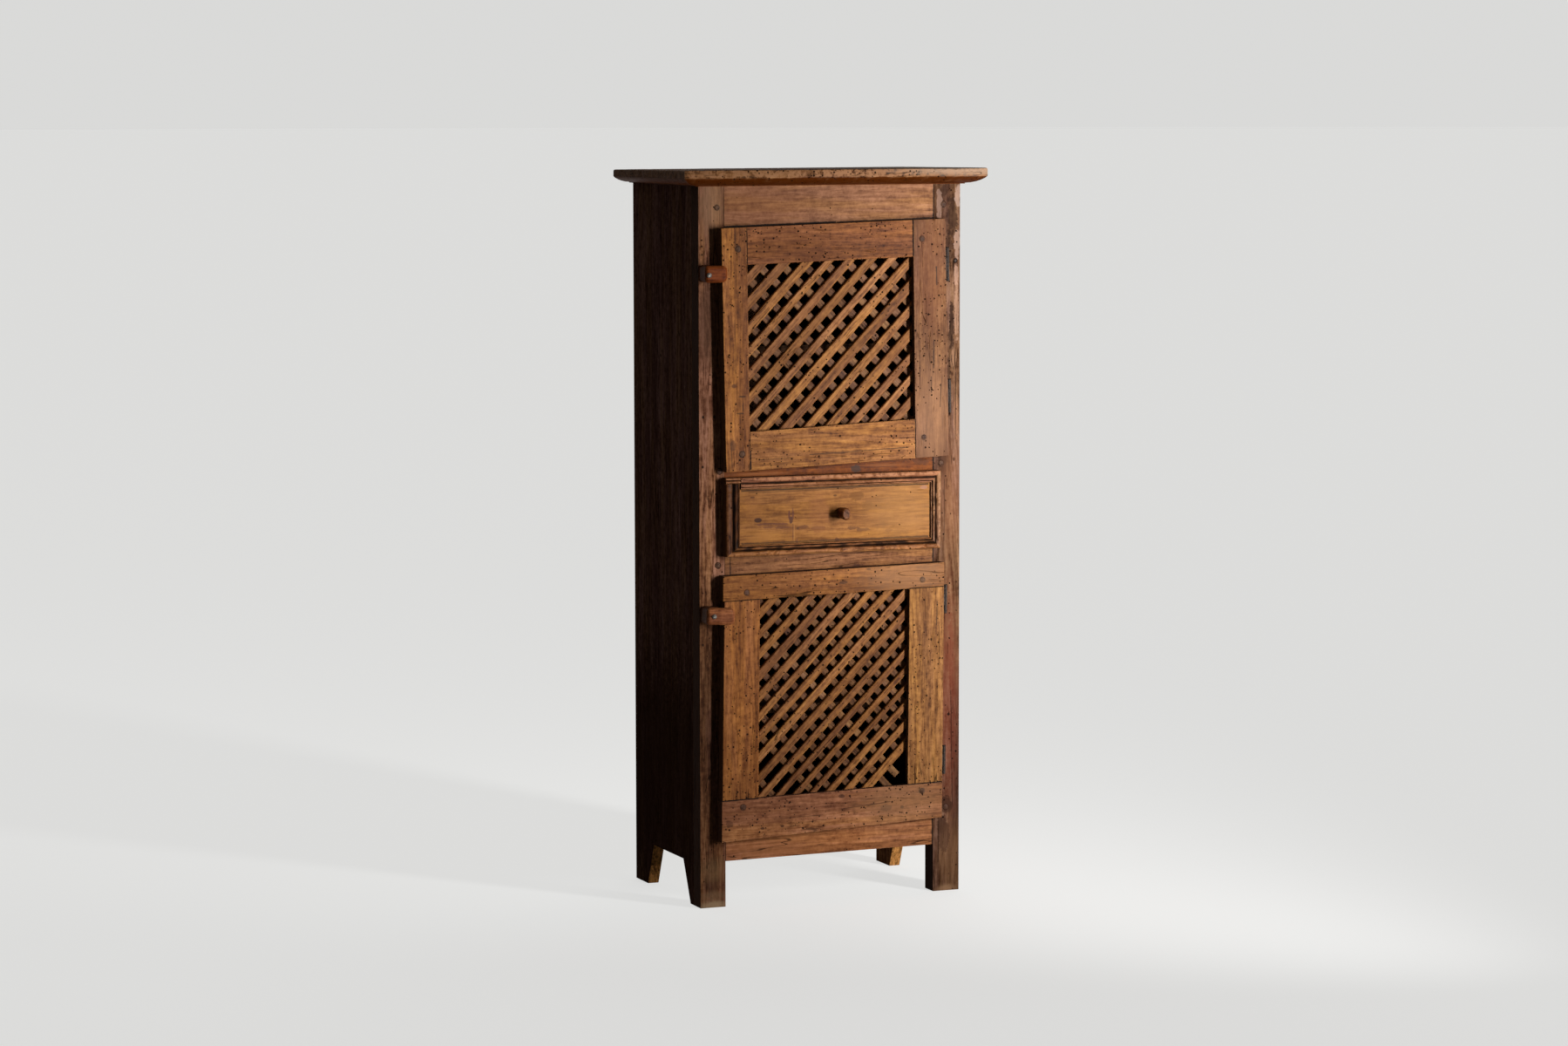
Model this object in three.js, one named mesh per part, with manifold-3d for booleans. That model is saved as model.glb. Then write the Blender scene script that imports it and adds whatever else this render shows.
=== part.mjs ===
// Pie safe: a tall narrow cupboard on four board feet, with a lattice door above, a drawer in the
// middle and a second lattice door below. All lengths are in millimetres. The case is laid out with
// X to the right from its left side, Y to the back from its front face and Z up from the floor.
import * as THREE from 'three';
import { mergeVertices } from 'three/addons/utils/BufferGeometryUtils.js';
import Module from 'manifold-3d';

const wasm = await Module();
wasm.setup();

// Clearances and tools
const pieceGap = 0.3;
const cutOverrun = 5;
const roundSides = 16;

// Case
const caseWidth = 575;
const caseDepth = 384;
const caseHeight = 1467;
const leftPostWidth = 55;
const rightPostWidth = 59;
const postDepth = 40;
const sideThickness = 24;
const sideFrontBoardEnd = 165;
const sideTongueThickness = 8;
const sideTongueLength = 8;
const backThickness = 14;
const backBoardCount = 3;
const backRebateWidth = 12;
const backBottomHeight = 140;

// Feet, cut from the lower ends of the side boards
const footHeight = 87;
const frontFootLengthAtFloor = 58;
const frontFootLengthAtTop = 100;
const rearFootLengthAtFloor = 72;
const rearFootLengthAtTop = 109;

// Rails of the front frame, each with the height of its lower edge above the floor
const railThickness = 26;
const topRailHeight = 102;
const upperDrawerRailBottom = 870;
const upperDrawerRailHeight = 55;
const lowerDrawerRailBottom = 655;
const lowerDrawerRailHeight = 73;
const bottomRailBottom = 94;
const bottomRailHeight = 81;
const bottomRailRise = 5;
const railTenonThickness = 8;
const railTenonLength = 30;
const railTenonSetback = 9;
const railTenonShoulder = 12;

// Boards inside the case, housed in grooves in its sides
const deckThickness = 18;
const shelfThickness = 16;
const housingDepth = 8;
const upperShelfLift = 215;
const lowerShelfLift = 225;
const shelfSetback = 60;
const drawerGuideHeight = 20;

// Top board with its moulded edge
const topThickness = 33;
const topOverhang = 44;
const topRearOverhang = 4;
const topRearFall = 5.5;
const topOverhangShares = [0.2, 0.2, 0.41, 0.6, 0.77, 0.91, 1, 1, 0.94];
const topHeightShares = [0, 0.05, 0.08, 0.15, 0.25, 0.37, 0.5, 0.9, 1];

// Doors
const doorThickness = 24;
const doorGap = 1;
const doorTenonThickness = 7;
const doorTenonLength = 36;
const doorTenonSetback = 3;
const doorTenonShoulder = 12;
const latticeSetback = 12;
const latticeRebateWidth = 10;
const lathThickness = 5;

// Each door hangs out of square. Its shape is given by how far its upper hinge corner and its upper
// free corner lie in from the sides of the case, how far it laps the rails above and below on the hinge
// side, how far its lower end leans sideways, and how far its free end has dropped.
const upperDoor = {
  name: 'upper_door',
  hingeEdgeInset: 44.2,
  freeEdgeInset: 40.2,
  lapAbove: 31.7,
  lapBelow: 15,
  lean: 9.2,
  topDrop: 13.4,
  bottomDrop: 18.7,
  topRailHeights: [75.8, 74.8],
  bottomRailHeights: [78.8, 80.9],
  freeStileWidths: [54.5, 52.2],
  hingeStileWidths: [72.2, 74.5],
  freeStileInsets: [0, 0],
  stilesRunThrough: true,
  hingeHeight: 68,
  hingePlaceShares: [0.0964, 0.7642],
  latchDrop: 106.7,
};
const lowerDoor = {
  name: 'lower_door',
  hingeEdgeInset: 45,
  freeEdgeInset: 42,
  lapAbove: 35,
  lapBelow: 16,
  lean: -4.6,
  topDrop: 9,
  bottomDrop: 22,
  topRailHeights: [51, 50],
  bottomRailHeights: [85, 74.5],
  freeStileWidths: [77, 78.7],
  hingeStileWidths: [77.5, 77.9],
  freeStileInsets: [3.5, 0.5],
  stilesRunThrough: false,
  hingeHeight: 58,
  hingePlaceShares: [0.044, 0.805],
  latchDrop: 88,
};

// Lattices: the gaps between the front laths and the middles of the laths behind, measured from the
// lower corner of the panel at the free side. The shift shares are parts of the spacing. Laths whose
// middle lies in a lost span are missing, and those in a short span are broken off at a front lath.
const upperLattice = {
  frontAngle: 46,
  frontLathWidth: 16.92,
  frontGapWidth: 16.6,
  frontFirstGap: -208.5,
  frontShiftShares: [0.06, -0.02, -0.08, -0.02, -0.03, 0.04, 0.07, 0.01, 0, 0, -0.07, -0.03, 0.04],
  lostFrontSpans: [],
  backAngle: -44,
  backLathWidth: 16,
  backGapWidth: 17.59,
  backFirstLath: 73.9,
  backShiftShares: [0.05, 0, 0.02, -0.02, -0.02, -0.08, -0.04, 0.02, 0, 0.01, 0.04, 0.01],
  lostBackSpans: [],
  shortBackSpans: [],
  shortBackLathEnds: [],
};
const lowerLattice = {
  frontAngle: 45,
  frontLathWidth: 14.42,
  frontGapWidth: 14.2,
  frontFirstGap: -159.7,
  frontShiftShares: [
    0.18, 0.16, 0.12, -0.03, -0.12, -0.18, -0.19, -0.13, -0.07, -0.03, -0.05, 0, 0.11, 0.15, 0.12,
  ],
  lostFrontSpans: [[-400, -185]],
  backAngle: -46.5,
  backLathWidth: 14.4,
  backGapWidth: 14.17,
  backFirstLath: 58.86,
  backShiftShares: [
    -0.52, 0, -0.28, -0.19, -0.01, -0.02, 0.02, 0.06, 0.36, 0.28, 0.25, 0.09, 0.03, -0.06, -0.18, -0.34,
  ],
  lostBackSpans: [[-60, 38], [80, 95]],
  shortBackSpans: [[245, 275], [275, 1000]],
  shortBackLathEnds: [-204, -174],
};

// Butt hinges, folded between the door and the post when the door is shut
const hingeBarrelOffset = 14;
const hingeBarrelRadius = 3.2;
const hingePinRadius = 1.4;
const runningClearance = 0.1;
const hingePinHeadRadius = 2.2;
const hingePinHeadHeight = 1.2;
const hingeLeafThickness = 1.5;
const hingeLeafWidth = 34;
const hingeLeafSplit = 0.3;
const hingeKnuckleShares = [0, 0.3, 0.7, 1];

// Turn buttons that hold the doors shut
const latchStandoff = 0.5;
const latchDoorClearance = 1.2;
const latchNoseThickness = 11;
const latchCorner = 5;
const latchChamfer = 4;
const upperLatch = {
  name: 'upper_latch', fromLeft: 9.5, leftReach: 7.5, hubReach: 24, noseReach: 40.5, height: 34, rise: 2, tilt: 0,
};
const lowerLatch = {
  name: 'lower_latch', fromLeft: 18, leftReach: 15, hubReach: 17, noseReach: 46, height: 35, rise: 0, tilt: 3,
};
const nailRadius = 2;
const nailHeadRadius = 5;
const nailHeadHeight = 3;
const nailDepth = 18;

// Drawer
const drawerFrontLeft = 50;
const drawerFrontRightInset = 51.5;
const drawerFrontLapBelow = 9;
const drawerFrontLapAbove = 9.5;
const drawerFrontThickness = 16;
const drawerFrontGap = 0.5;
const drawerClearance = 2;
const drawerSideThickness = 12;
const drawerTopClearance = 3;
const drawerBackClearance = 40;
const drawerBottomThickness = 8;
const drawerBottomLift = 8;
const drawerGrooveDepth = 6;
const mouldingThickness = 7;
const mouldingWidths = { left: 31, right: 23, top: 24, bottom: 23 };
const mouldingAcrossShares = [0, 0, 0.18, 0.34, 0.52, 0.7, 0.86, 1, 1];
const mouldingHeightShares = [0, 0.86, 1, 0.55, 0.3, 0.62, 1, 0.6, 0];
const knobFromMiddle = 15.75;
const knobFromBottom = 81;
const knobLength = 32;
const knobFootRadius = 11.5;
const knobTipRadius = 13;
const knobFlatShare = 0.76;
const knobTipRounding = 2.5;
const knobTenonRadius = 7;
const knobSides = 12;

// Sizes that follow from the ones above
const topRailBottom = caseHeight - topRailHeight;
const innerLeft = leftPostWidth;
const innerRight = caseWidth - rightPostWidth;
const backFace = caseDepth - backThickness;
const doorBack = -doorGap;
const doorFront = doorBack - doorThickness;
const hingeAxisY = -doorGap / 2;
const floorTop = bottomRailBottom + bottomRailHeight;
const dividerTop = lowerDrawerRailBottom + lowerDrawerRailHeight;
const deckTop = upperDrawerRailBottom + upperDrawerRailHeight;
const drawerFace = -drawerFrontGap - drawerFrontThickness;
const knobTip = drawerFace - knobLength;
const upperShelfHeight = deckTop + upperShelfLift;
const lowerShelfHeight = floorTop + lowerShelfLift;
upperDoor.hingeEdgeTop = topRailBottom + upperDoor.lapAbove;
upperDoor.hingeEdgeBottom = deckTop - upperDoor.lapBelow;
lowerDoor.hingeEdgeTop = lowerDrawerRailBottom + lowerDoor.lapAbove;
lowerDoor.hingeEdgeBottom = floorTop - lowerDoor.lapBelow;
const drawerFrontBottom = dividerTop - drawerFrontLapBelow;
const drawerFrontTop = upperDrawerRailBottom + drawerFrontLapAbove;
const drawerFrontHeight = drawerFrontTop - drawerFrontBottom;
const drawerFrontRight = caseWidth - drawerFrontRightInset;
const drawerFrontWidth = drawerFrontRight - drawerFrontLeft;
const drawerLength = backFace - drawerBackClearance;

// Materials
const wood = (colour, roughness = 0.62) => new THREE.MeshStandardMaterial({ color: colour, roughness, metalness: 0 });
const postWood = wood('#7a573f');
const railWood = wood('#8a6142');
const sideWood = wood('#3a2a22', 0.7);
const insideWood = wood('#5b4029', 0.8);
const topWood = wood('#8f6238', 0.5);
const doorWood = wood('#8d5f37', 0.55);
const lathWood = wood('#9a6b3c', 0.6);
const drawerWood = wood('#a06d33', 0.45);
const mouldingWood = wood('#5d3b24', 0.5);
const latchWood = wood('#6b3218', 0.35);
const knobWood = wood('#4a2c1c', 0.4);
const hingeIron = new THREE.MeshStandardMaterial({ color: '#6d6a66', roughness: 0.5, metalness: 0.9 });
const nailSteel = new THREE.MeshStandardMaterial({ color: '#a3a09a', roughness: 0.35, metalness: 0.95 });

// Turning plain geometry into solids that can be joined and cut, and back
function solid(geometry) {
  const bare = geometry.index ? geometry.toNonIndexed() : geometry.clone();
  bare.deleteAttribute('normal');
  bare.deleteAttribute('uv');
  const merged = mergeVertices(bare);
  return new wasm.Manifold(new wasm.Mesh({
    numProp: 3,
    vertProperties: new Float32Array(merged.attributes.position.array),
    triVerts: new Uint32Array(merged.index.array),
  }));
}

function toGeometry(body) {
  const mesh = body.getMesh();
  const geometry = new THREE.BufferGeometry();
  geometry.setAttribute('position', new THREE.BufferAttribute(new Float32Array(mesh.vertProperties), 3));
  geometry.setIndex(new THREE.BufferAttribute(new Uint32Array(mesh.triVerts), 1));
  geometry.computeVertexNormals();
  return geometry;
}

const cut = (body, ...tools) => tools.reduce((left, tool) => left.subtract(tool), body);
const join = (body, ...others) => others.reduce((whole, other) => whole.add(other), body);

function box(x0, x1, y0, y1, z0, z1) {
  const geometry = new THREE.BoxGeometry(x1 - x0, y1 - y0, z1 - z0);
  geometry.translate((x0 + x1) / 2, (y0 + y1) / 2, (z0 + z1) / 2);
  return solid(geometry);
}

function extrude(points, depth) {
  const shape = new THREE.Shape(points.map(([a, b]) => new THREE.Vector2(a, b)));
  return new THREE.ExtrudeGeometry(shape, { depth, bevelEnabled: false });
}

// An outline seen from the front, [x, z], filling the depth from y0 back to y1
function frontPlate(points, y0, y1) {
  const geometry = extrude(points, y1 - y0);
  geometry.rotateX(Math.PI / 2);
  geometry.translate(0, y1, 0);
  return solid(geometry);
}

// An outline seen from the side, [y, z], filling the width from x0 to x1
function sidePlate(points, x0, x1) {
  const geometry = extrude(points, x1 - x0);
  const turned = new THREE.Matrix4().makeBasis(
    new THREE.Vector3(0, 1, 0), new THREE.Vector3(0, 0, 1), new THREE.Vector3(1, 0, 0));
  geometry.applyMatrix4(turned);
  geometry.translate(x0, 0, 0);
  return solid(geometry);
}

// An outline seen from above, [x, y], filling the height from z0 to z1
function floorPlate(points, z0, z1) {
  const geometry = extrude(points, z1 - z0);
  geometry.translate(0, 0, z0);
  return solid(geometry);
}

// A turned piece about the Z axis, from [radius, z] points that start and end on the axis
function turned(points, sides = roundSides) {
  const profile = points.map(([radius, z]) => new THREE.Vector2(radius, z));
  const geometry = new THREE.LatheGeometry(profile, sides);
  geometry.rotateX(Math.PI / 2);
  return solid(geometry);
}

function rod(radius, z0, z1) {
  return turned([[0, z0], [radius, z0], [radius, z1], [0, z1]]);
}

// The same body, turned so that its own Z axis runs towards the front
function facingFront(body) {
  return body.rotate([90, 0, 0]);
}

const root = new THREE.Group();
root.position.set(-caseWidth / 2, -(caseDepth + topRearOverhang + knobTip) / 2, 0);

function piece(name, body, material, parent = root) {
  const mesh = new THREE.Mesh(toGeometry(body), material);
  mesh.name = name;
  parent.add(mesh);
  return mesh;
}

// Straight lines seen from the front, for the frames that are out of square
const line = (a, b) => ({ a, b });

function meet(first, second) {
  const [x1, z1] = first.a;
  const [dx1, dz1] = [first.b[0] - x1, first.b[1] - z1];
  const [x2, z2] = second.a;
  const [dx2, dz2] = [second.b[0] - x2, second.b[1] - z2];
  const along = ((x2 - x1) * dz2 - (z2 - z1) * dx2) / (dx1 * dz2 - dz1 * dx2);
  return [x1 + dx1 * along, z1 + dz1 * along];
}

const moveX = (edge, distance) => line([edge.a[0] + distance, edge.a[1]], [edge.b[0] + distance, edge.b[1]]);
const moveZ = (edge, distance) => line([edge.a[0], edge.a[1] + distance], [edge.b[0], edge.b[1] + distance]);

// A four-sided outline between a left, a right, a lower and an upper line
const between = ({ left, right, lower, upper }) => [
  meet(left, lower), meet(right, lower), meet(right, upper), meet(left, upper),
];

const grown = ({ left, right, lower, upper }, distance) => ({
  left: moveX(left, -distance),
  right: moveX(right, distance),
  lower: moveZ(lower, -distance),
  upper: moveZ(upper, distance),
});

// The lines of a door: its outer edges and the edges of its opening
function doorLines(door) {
  const right = caseWidth - door.hingeEdgeInset;
  const left = door.freeEdgeInset;
  const corners = {
    topHinge: [right, door.hingeEdgeTop],
    bottomHinge: [right + door.lean, door.hingeEdgeBottom],
    topFree: [left, door.hingeEdgeTop - door.topDrop],
    bottomFree: [left + door.lean, door.hingeEdgeBottom - door.bottomDrop],
  };
  const { topHinge, bottomHinge, topFree, bottomFree } = corners;
  const offset = ([x, z], dx, dz) => [x + dx, z + dz];
  const outer = {
    left: line(bottomFree, topFree),
    right: line(bottomHinge, topHinge),
    lower: line(bottomFree, bottomHinge),
    upper: line(topFree, topHinge),
  };
  const [insetTop, insetBottom] = door.freeStileInsets;
  const stileFree = line(offset(bottomFree, insetBottom, 0), offset(topFree, insetTop, 0));
  const opening = {
    left: line(offset(stileFree.a, door.freeStileWidths[1], 0), offset(stileFree.b, door.freeStileWidths[0], 0)),
    right: line(offset(bottomHinge, -door.hingeStileWidths[1], 0), offset(topHinge, -door.hingeStileWidths[0], 0)),
    lower: line(offset(bottomFree, 0, door.bottomRailHeights[0]), offset(bottomHinge, 0, door.bottomRailHeights[1])),
    upper: line(offset(topFree, 0, -door.topRailHeights[0]), offset(topHinge, 0, -door.topRailHeights[1])),
  };
  return { outer, opening, stileFree, corners };
}

// The hinges of a door: where the barrel's axis runs and how it leans
function hingeAxis(door) {
  const { topHinge } = doorLines(door).corners;
  const lean = Math.atan2(door.lean, door.hingeEdgeTop - door.hingeEdgeBottom);
  const start = [topHinge[0] + hingeBarrelOffset, topHinge[1]];
  const placeAt = (drop) => {
    const place = new THREE.Matrix4().makeRotationY(-lean);
    place.setPosition(start[0] + drop * Math.sin(lean), hingeAxisY, start[1] - drop * Math.cos(lean));
    return place;
  };
  return { lean, placeAt };
}

// One hinge about its own Z axis: two leaves reaching left, one behind the other, and a pin
function hingeSolids(door) {
  const half = door.hingeHeight / 2;
  const level = hingeKnuckleShares.map((share) => -half + share * door.hingeHeight);
  const bore = rod(hingePinRadius + runningClearance, -half - cutOverrun, half + cutOverrun);
  const knuckle = (from, to) => rod(hingeBarrelRadius, level[from] + pieceGap / 2, level[to] - pieceGap / 2);
  const swing = hingeBarrelRadius + pieceGap;
  const clear = (from, to) => box(
    -swing, swing, -swing, swing, level[from] - pieceGap / 2, level[to] + pieceGap / 2);
  const leaf = (y0, y1) => box(-hingeLeafWidth, 0, y0, y1, -half, half);
  const near = hingeLeafSplit / 2;
  const far = near + hingeLeafThickness;
  const caseLeaf = join(cut(leaf(near, far), clear(1, 2)), knuckle(0, 1), knuckle(2, 3));
  const doorLeaf = join(cut(leaf(-far, -near), clear(0, 1), clear(2, 3)), knuckle(1, 2));
  const pin = turned([
    [0, -half], [hingePinRadius, -half], [hingePinRadius, half + pieceGap],
    [hingePinHeadRadius, half + pieceGap], [hingePinHeadRadius, half + pieceGap + hingePinHeadHeight],
    [0, half + pieceGap + hingePinHeadHeight],
  ]);
  const leafSeat = box(
    -hingeLeafWidth - pieceGap, hingeBarrelRadius, -far - pieceGap, far + pieceGap,
    -half - pieceGap, half + pieceGap);
  const barrelNotch = box(
    -swing, swing, -swing, swing,
    -half - pieceGap, half + hingePinHeadHeight + 2 * pieceGap);
  return { caseLeaf: cut(caseLeaf, bore), doorLeaf: cut(doorLeaf, bore), pin, seat: join(leafSeat, barrelNotch) };
}

const hingeNames = ['top', 'bottom'];

function hingesOf(door) {
  const { lean, placeAt } = hingeAxis(door);
  const edge = door.hingeEdgeTop - door.hingeEdgeBottom;
  const free = edge - door.lapAbove - door.lapBelow - hingeNames.length * door.hingeHeight;
  return door.hingePlaceShares.map((share, index) => {
    const drop = door.lapAbove + share * free + index * door.hingeHeight + door.hingeHeight / 2;
    const place = placeAt(drop);
    const solids = hingeSolids(door);
    return { name: `${door.name}_hinge_${hingeNames[index]}`, lean, place, ...solids };
  });
}

const transformed = (body, matrix) => body.transform(matrix.elements);

const hinges = [...hingesOf(upperDoor), ...hingesOf(lowerDoor)];
const hingeSeats = hinges.map((hinge) => transformed(hinge.seat, hinge.place));

// Front frame of the case: two posts with the rails tenoned between them
const railLevels = [
  { name: 'rail_top', bottom: topRailBottom, top: caseHeight, rise: 0 },
  { name: 'rail_above_drawer', bottom: upperDrawerRailBottom, top: deckTop, rise: 0 },
  { name: 'rail_below_drawer', bottom: lowerDrawerRailBottom, top: dividerTop, rise: 0 },
  { name: 'rail_bottom', bottom: bottomRailBottom, top: floorTop, rise: bottomRailRise },
];

function railTenons(rail, gap) {
  const z0 = rail.bottom + rail.rise + railTenonShoulder - gap;
  const z1 = rail.top - railTenonShoulder + gap;
  const y0 = railTenonSetback - gap;
  const y1 = railTenonSetback + railTenonThickness + gap;
  const reach = railTenonLength + gap;
  return [
    box(innerLeft - reach, innerLeft + cutOverrun, y0, y1, z0, z1),
    box(innerRight - cutOverrun, innerRight + reach, y0, y1, z0, z1),
  ];
}

function nailHole(latch, door, depth) {
  const { corners } = doorLines(door);
  const hole = facingFront(rod(nailRadius + pieceGap, -depth, cutOverrun));
  return hole.translate([latch.fromLeft, 0, corners.topHinge[1] - door.latchDrop]);
}

const sideTongue = (sideThickness - sideTongueThickness) / 2;

function post(x0, x1, tongueX0, extraCuts) {
  const groove = box(
    tongueX0, tongueX0 + sideTongueThickness, postDepth - sideTongueLength, postDepth + cutOverrun,
    -cutOverrun, caseHeight + cutOverrun);
  const mortises = railLevels.flatMap((rail) => railTenons(rail, pieceGap));
  return cut(box(x0, x1, 0, postDepth, 0, caseHeight), groove, ...mortises, ...extraCuts);
}

const latchHoles = [
  nailHole(upperLatch, upperDoor, nailDepth + pieceGap),
  nailHole(lowerLatch, lowerDoor, nailDepth + pieceGap),
];
piece('post_front_left', post(0, innerLeft, sideTongue, latchHoles), postWood);
piece('post_front_right',
  post(innerRight, caseWidth, caseWidth - sideTongue - sideTongueThickness, hingeSeats), postWood);

railLevels.forEach((rail) => {
  const outline = [
    [innerLeft, rail.bottom], [innerRight, rail.bottom + rail.rise], [innerRight, rail.top], [innerLeft, rail.top],
  ];
  piece(rail.name, join(frontPlate(outline, 0, railThickness), ...railTenons(rail, 0)), railWood);
});

// Horizontal boards, each notched round the posts and housed in the sides
const housedLeft = sideThickness - housingDepth;
const housedRight = caseWidth - housedLeft;

function deckBoard(top) {
  const outline = [
    [innerLeft, railThickness], [innerRight, railThickness], [innerRight, postDepth], [housedRight, postDepth],
    [housedRight, backFace], [housedLeft, backFace], [housedLeft, postDepth], [innerLeft, postDepth],
  ];
  return floorPlate(outline, top - deckThickness, top);
}

function shelfBoard(top) {
  return box(housedLeft, housedRight, shelfSetback, backFace, top - shelfThickness, top);
}

const boards = {
  floor_board: deckBoard(floorTop),
  drawer_divider: deckBoard(dividerTop),
  upper_deck: deckBoard(deckTop),
  lower_shelf: shelfBoard(lowerShelfHeight),
  upper_shelf: shelfBoard(upperShelfHeight),
};
Object.entries(boards).forEach(([name, body]) => piece(name, body, insideWood));

piece('drawer_guide_left',
  box(sideThickness, innerLeft, postDepth, backFace, dividerTop, dividerTop + drawerGuideHeight), insideWood);
piece('drawer_guide_right',
  box(innerRight, caseWidth - sideThickness, postDepth, backFace, dividerTop, dividerTop + drawerGuideHeight),
  insideWood);

// Sides, each of two upright boards whose lower ends are sawn out into feet
function sideBoards(side, x0, tongueX0, inward) {
  const x1 = x0 + sideThickness;
  const frontOutline = [
    [postDepth, 0], [frontFootLengthAtFloor, 0], [frontFootLengthAtTop, footHeight],
    [sideFrontBoardEnd, footHeight], [sideFrontBoardEnd, caseHeight], [postDepth, caseHeight],
  ];
  const rearOutline = [
    [sideFrontBoardEnd, footHeight], [caseDepth - rearFootLengthAtTop, footHeight],
    [caseDepth - rearFootLengthAtFloor, 0], [caseDepth, 0], [caseDepth, caseHeight],
    [sideFrontBoardEnd, caseHeight],
  ];
  const tongue = box(
    tongueX0, tongueX0 + sideTongueThickness, postDepth - sideTongueLength, postDepth + cutOverrun, 0, caseHeight);
  const housings = Object.values(boards);
  const rebateX = inward > 0 ? [x0 + backRebateWidth, x1 + cutOverrun] : [x0 - cutOverrun, x1 - backRebateWidth];
  const rebate = box(
    rebateX[0], rebateX[1], backFace, caseDepth + cutOverrun, backBottomHeight, caseHeight + cutOverrun);
  piece(`side_${side}_front_board`, cut(join(sidePlate(frontOutline, x0, x1), tongue), ...housings), sideWood);
  piece(`side_${side}_rear_board`, cut(sidePlate(rearOutline, x0, x1), ...housings, rebate), sideWood);
}

sideBoards('left', 0, sideTongue, 1);
sideBoards('right', caseWidth - sideThickness, caseWidth - sideTongue - sideTongueThickness, -1);

// Back boards, upright between the rebates in the sides
const backBoardWidth = (caseWidth - 2 * backRebateWidth) / backBoardCount;
for (let index = 0; index < backBoardCount; index += 1) {
  const x0 = backRebateWidth + index * backBoardWidth;
  const seam = index === backBoardCount - 1 ? 0 : pieceGap;
  piece(`back_board_${index + 1}`,
    box(x0, x0 + backBoardWidth - seam, backFace, caseDepth, backBottomHeight, caseHeight), insideWood);
}

// Top board: level rings from the foot of its moulding up to its upper face, moulded on three edges
function ringStack(rings) {
  const positions = rings.flatMap(({ x0, x1, y0, y1, z, rearZ }) => [
    x0, y0, z, x1, y0, z, x1, y1, rearZ, x0, y1, rearZ,
  ]);
  const corners = 4;
  const index = [0, 2, 1, 0, 3, 2];
  for (let level = 0; level < rings.length - 1; level += 1) {
    for (let corner = 0; corner < corners; corner += 1) {
      const low = level * corners + corner;
      const lowNext = level * corners + ((corner + 1) % corners);
      const high = low + corners;
      const highNext = lowNext + corners;
      index.push(low, lowNext, highNext, low, highNext, high);
    }
  }
  const last = (rings.length - 1) * corners;
  index.push(last, last + 1, last + 2, last, last + 2, last + 3);
  const geometry = new THREE.BufferGeometry();
  geometry.setAttribute('position', new THREE.BufferAttribute(new Float32Array(positions), 3));
  geometry.setIndex(index);
  return solid(geometry);
}

piece('top_board', ringStack(topHeightShares.map((share, level) => {
  const overhang = topOverhangShares[level] * topOverhang;
  return {
    x0: -overhang,
    x1: caseWidth + overhang,
    y0: -overhang,
    y1: caseDepth + topRearOverhang,
    z: caseHeight + share * topThickness,
    rearZ: caseHeight + share * (topThickness - topRearFall),
  };
})), topWood);

// A lattice panel: laths rising to the right nailed over laths that cross behind them
function lattice(opening, spec) {
  const panel = grown(opening, latticeRebateWidth - pieceGap);
  const corners = between(panel);
  const [originX, originZ] = corners[0];
  const across = (angle) => {
    const turn = THREE.MathUtils.degToRad(angle);
    const measure = ([x, z]) => -(x - originX) * Math.sin(turn) + (z - originZ) * Math.cos(turn);
    const values = corners.map(measure);
    return { turn, low: Math.min(...values), high: Math.max(...values) };
  };
  const reach = Math.hypot(corners[2][0] - corners[0][0], corners[2][1] - corners[0][1]);
  const strip = (turn, from, to, y0, y1) => {
    const at = (along, offset) => [
      originX + along * Math.cos(turn) - offset * Math.sin(turn),
      originZ + along * Math.sin(turn) + offset * Math.cos(turn),
    ];
    return frontPlate([at(-reach, from), at(reach, from), at(reach, to), at(-reach, to)], y0, y1);
  };
  const shifted = (first, spacing, shares, count) => {
    const share = shares[((count % shares.length) + shares.length) % shares.length];
    return first + (count + share) * spacing;
  };
  const faceY = doorFront + latticeSetback;
  const seamY = faceY + lathThickness;
  const rearY = seamY + lathThickness;

  const spanOf = (spans, middle) => spans.findIndex(([from, to]) => middle >= from && middle < to);

  const front = across(spec.frontAngle);
  const frontSpacing = spec.frontLathWidth + spec.frontGapWidth;
  const frontGap = (count) => shifted(spec.frontFirstGap, frontSpacing, spec.frontShiftShares, count);
  const firstFront = Math.floor((front.low - spec.frontFirstGap) / frontSpacing) - 1;
  const lastFront = Math.ceil((front.high - spec.frontFirstGap) / frontSpacing) + 1;
  const laths = [];
  for (let count = firstFront; count < lastFront; count += 1) {
    const from = frontGap(count) + spec.frontGapWidth / 2;
    const to = frontGap(count + 1) - spec.frontGapWidth / 2;
    if (spanOf(spec.lostFrontSpans, (from + to) / 2) < 0) {
      laths.push(strip(front.turn, from, to, faceY, seamY));
    }
  }

  const back = across(spec.backAngle);
  const backSpacing = spec.backLathWidth + spec.backGapWidth;
  const firstBack = Math.floor((back.low - spec.backFirstLath) / backSpacing) - 1;
  const lastBack = Math.ceil((back.high - spec.backFirstLath) / backSpacing) + 1;
  for (let count = firstBack; count <= lastBack; count += 1) {
    const middle = shifted(spec.backFirstLath, backSpacing, spec.backShiftShares, count);
    const half = spec.backLathWidth / 2;
    const whole = strip(back.turn, middle - half, middle + half, seamY, rearY);
    const short = spanOf(spec.shortBackSpans, middle);
    if (short >= 0) {
      const end = spec.shortBackLathEnds[short];
      laths.push(whole.intersect(strip(front.turn, end, front.high + reach, seamY, rearY)));
    } else if (spanOf(spec.lostBackSpans, middle) < 0) {
      laths.push(whole);
    }
  }
  const field = frontPlate(corners, faceY, rearY);
  return wasm.Manifold.union(laths).intersect(field);
}

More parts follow.
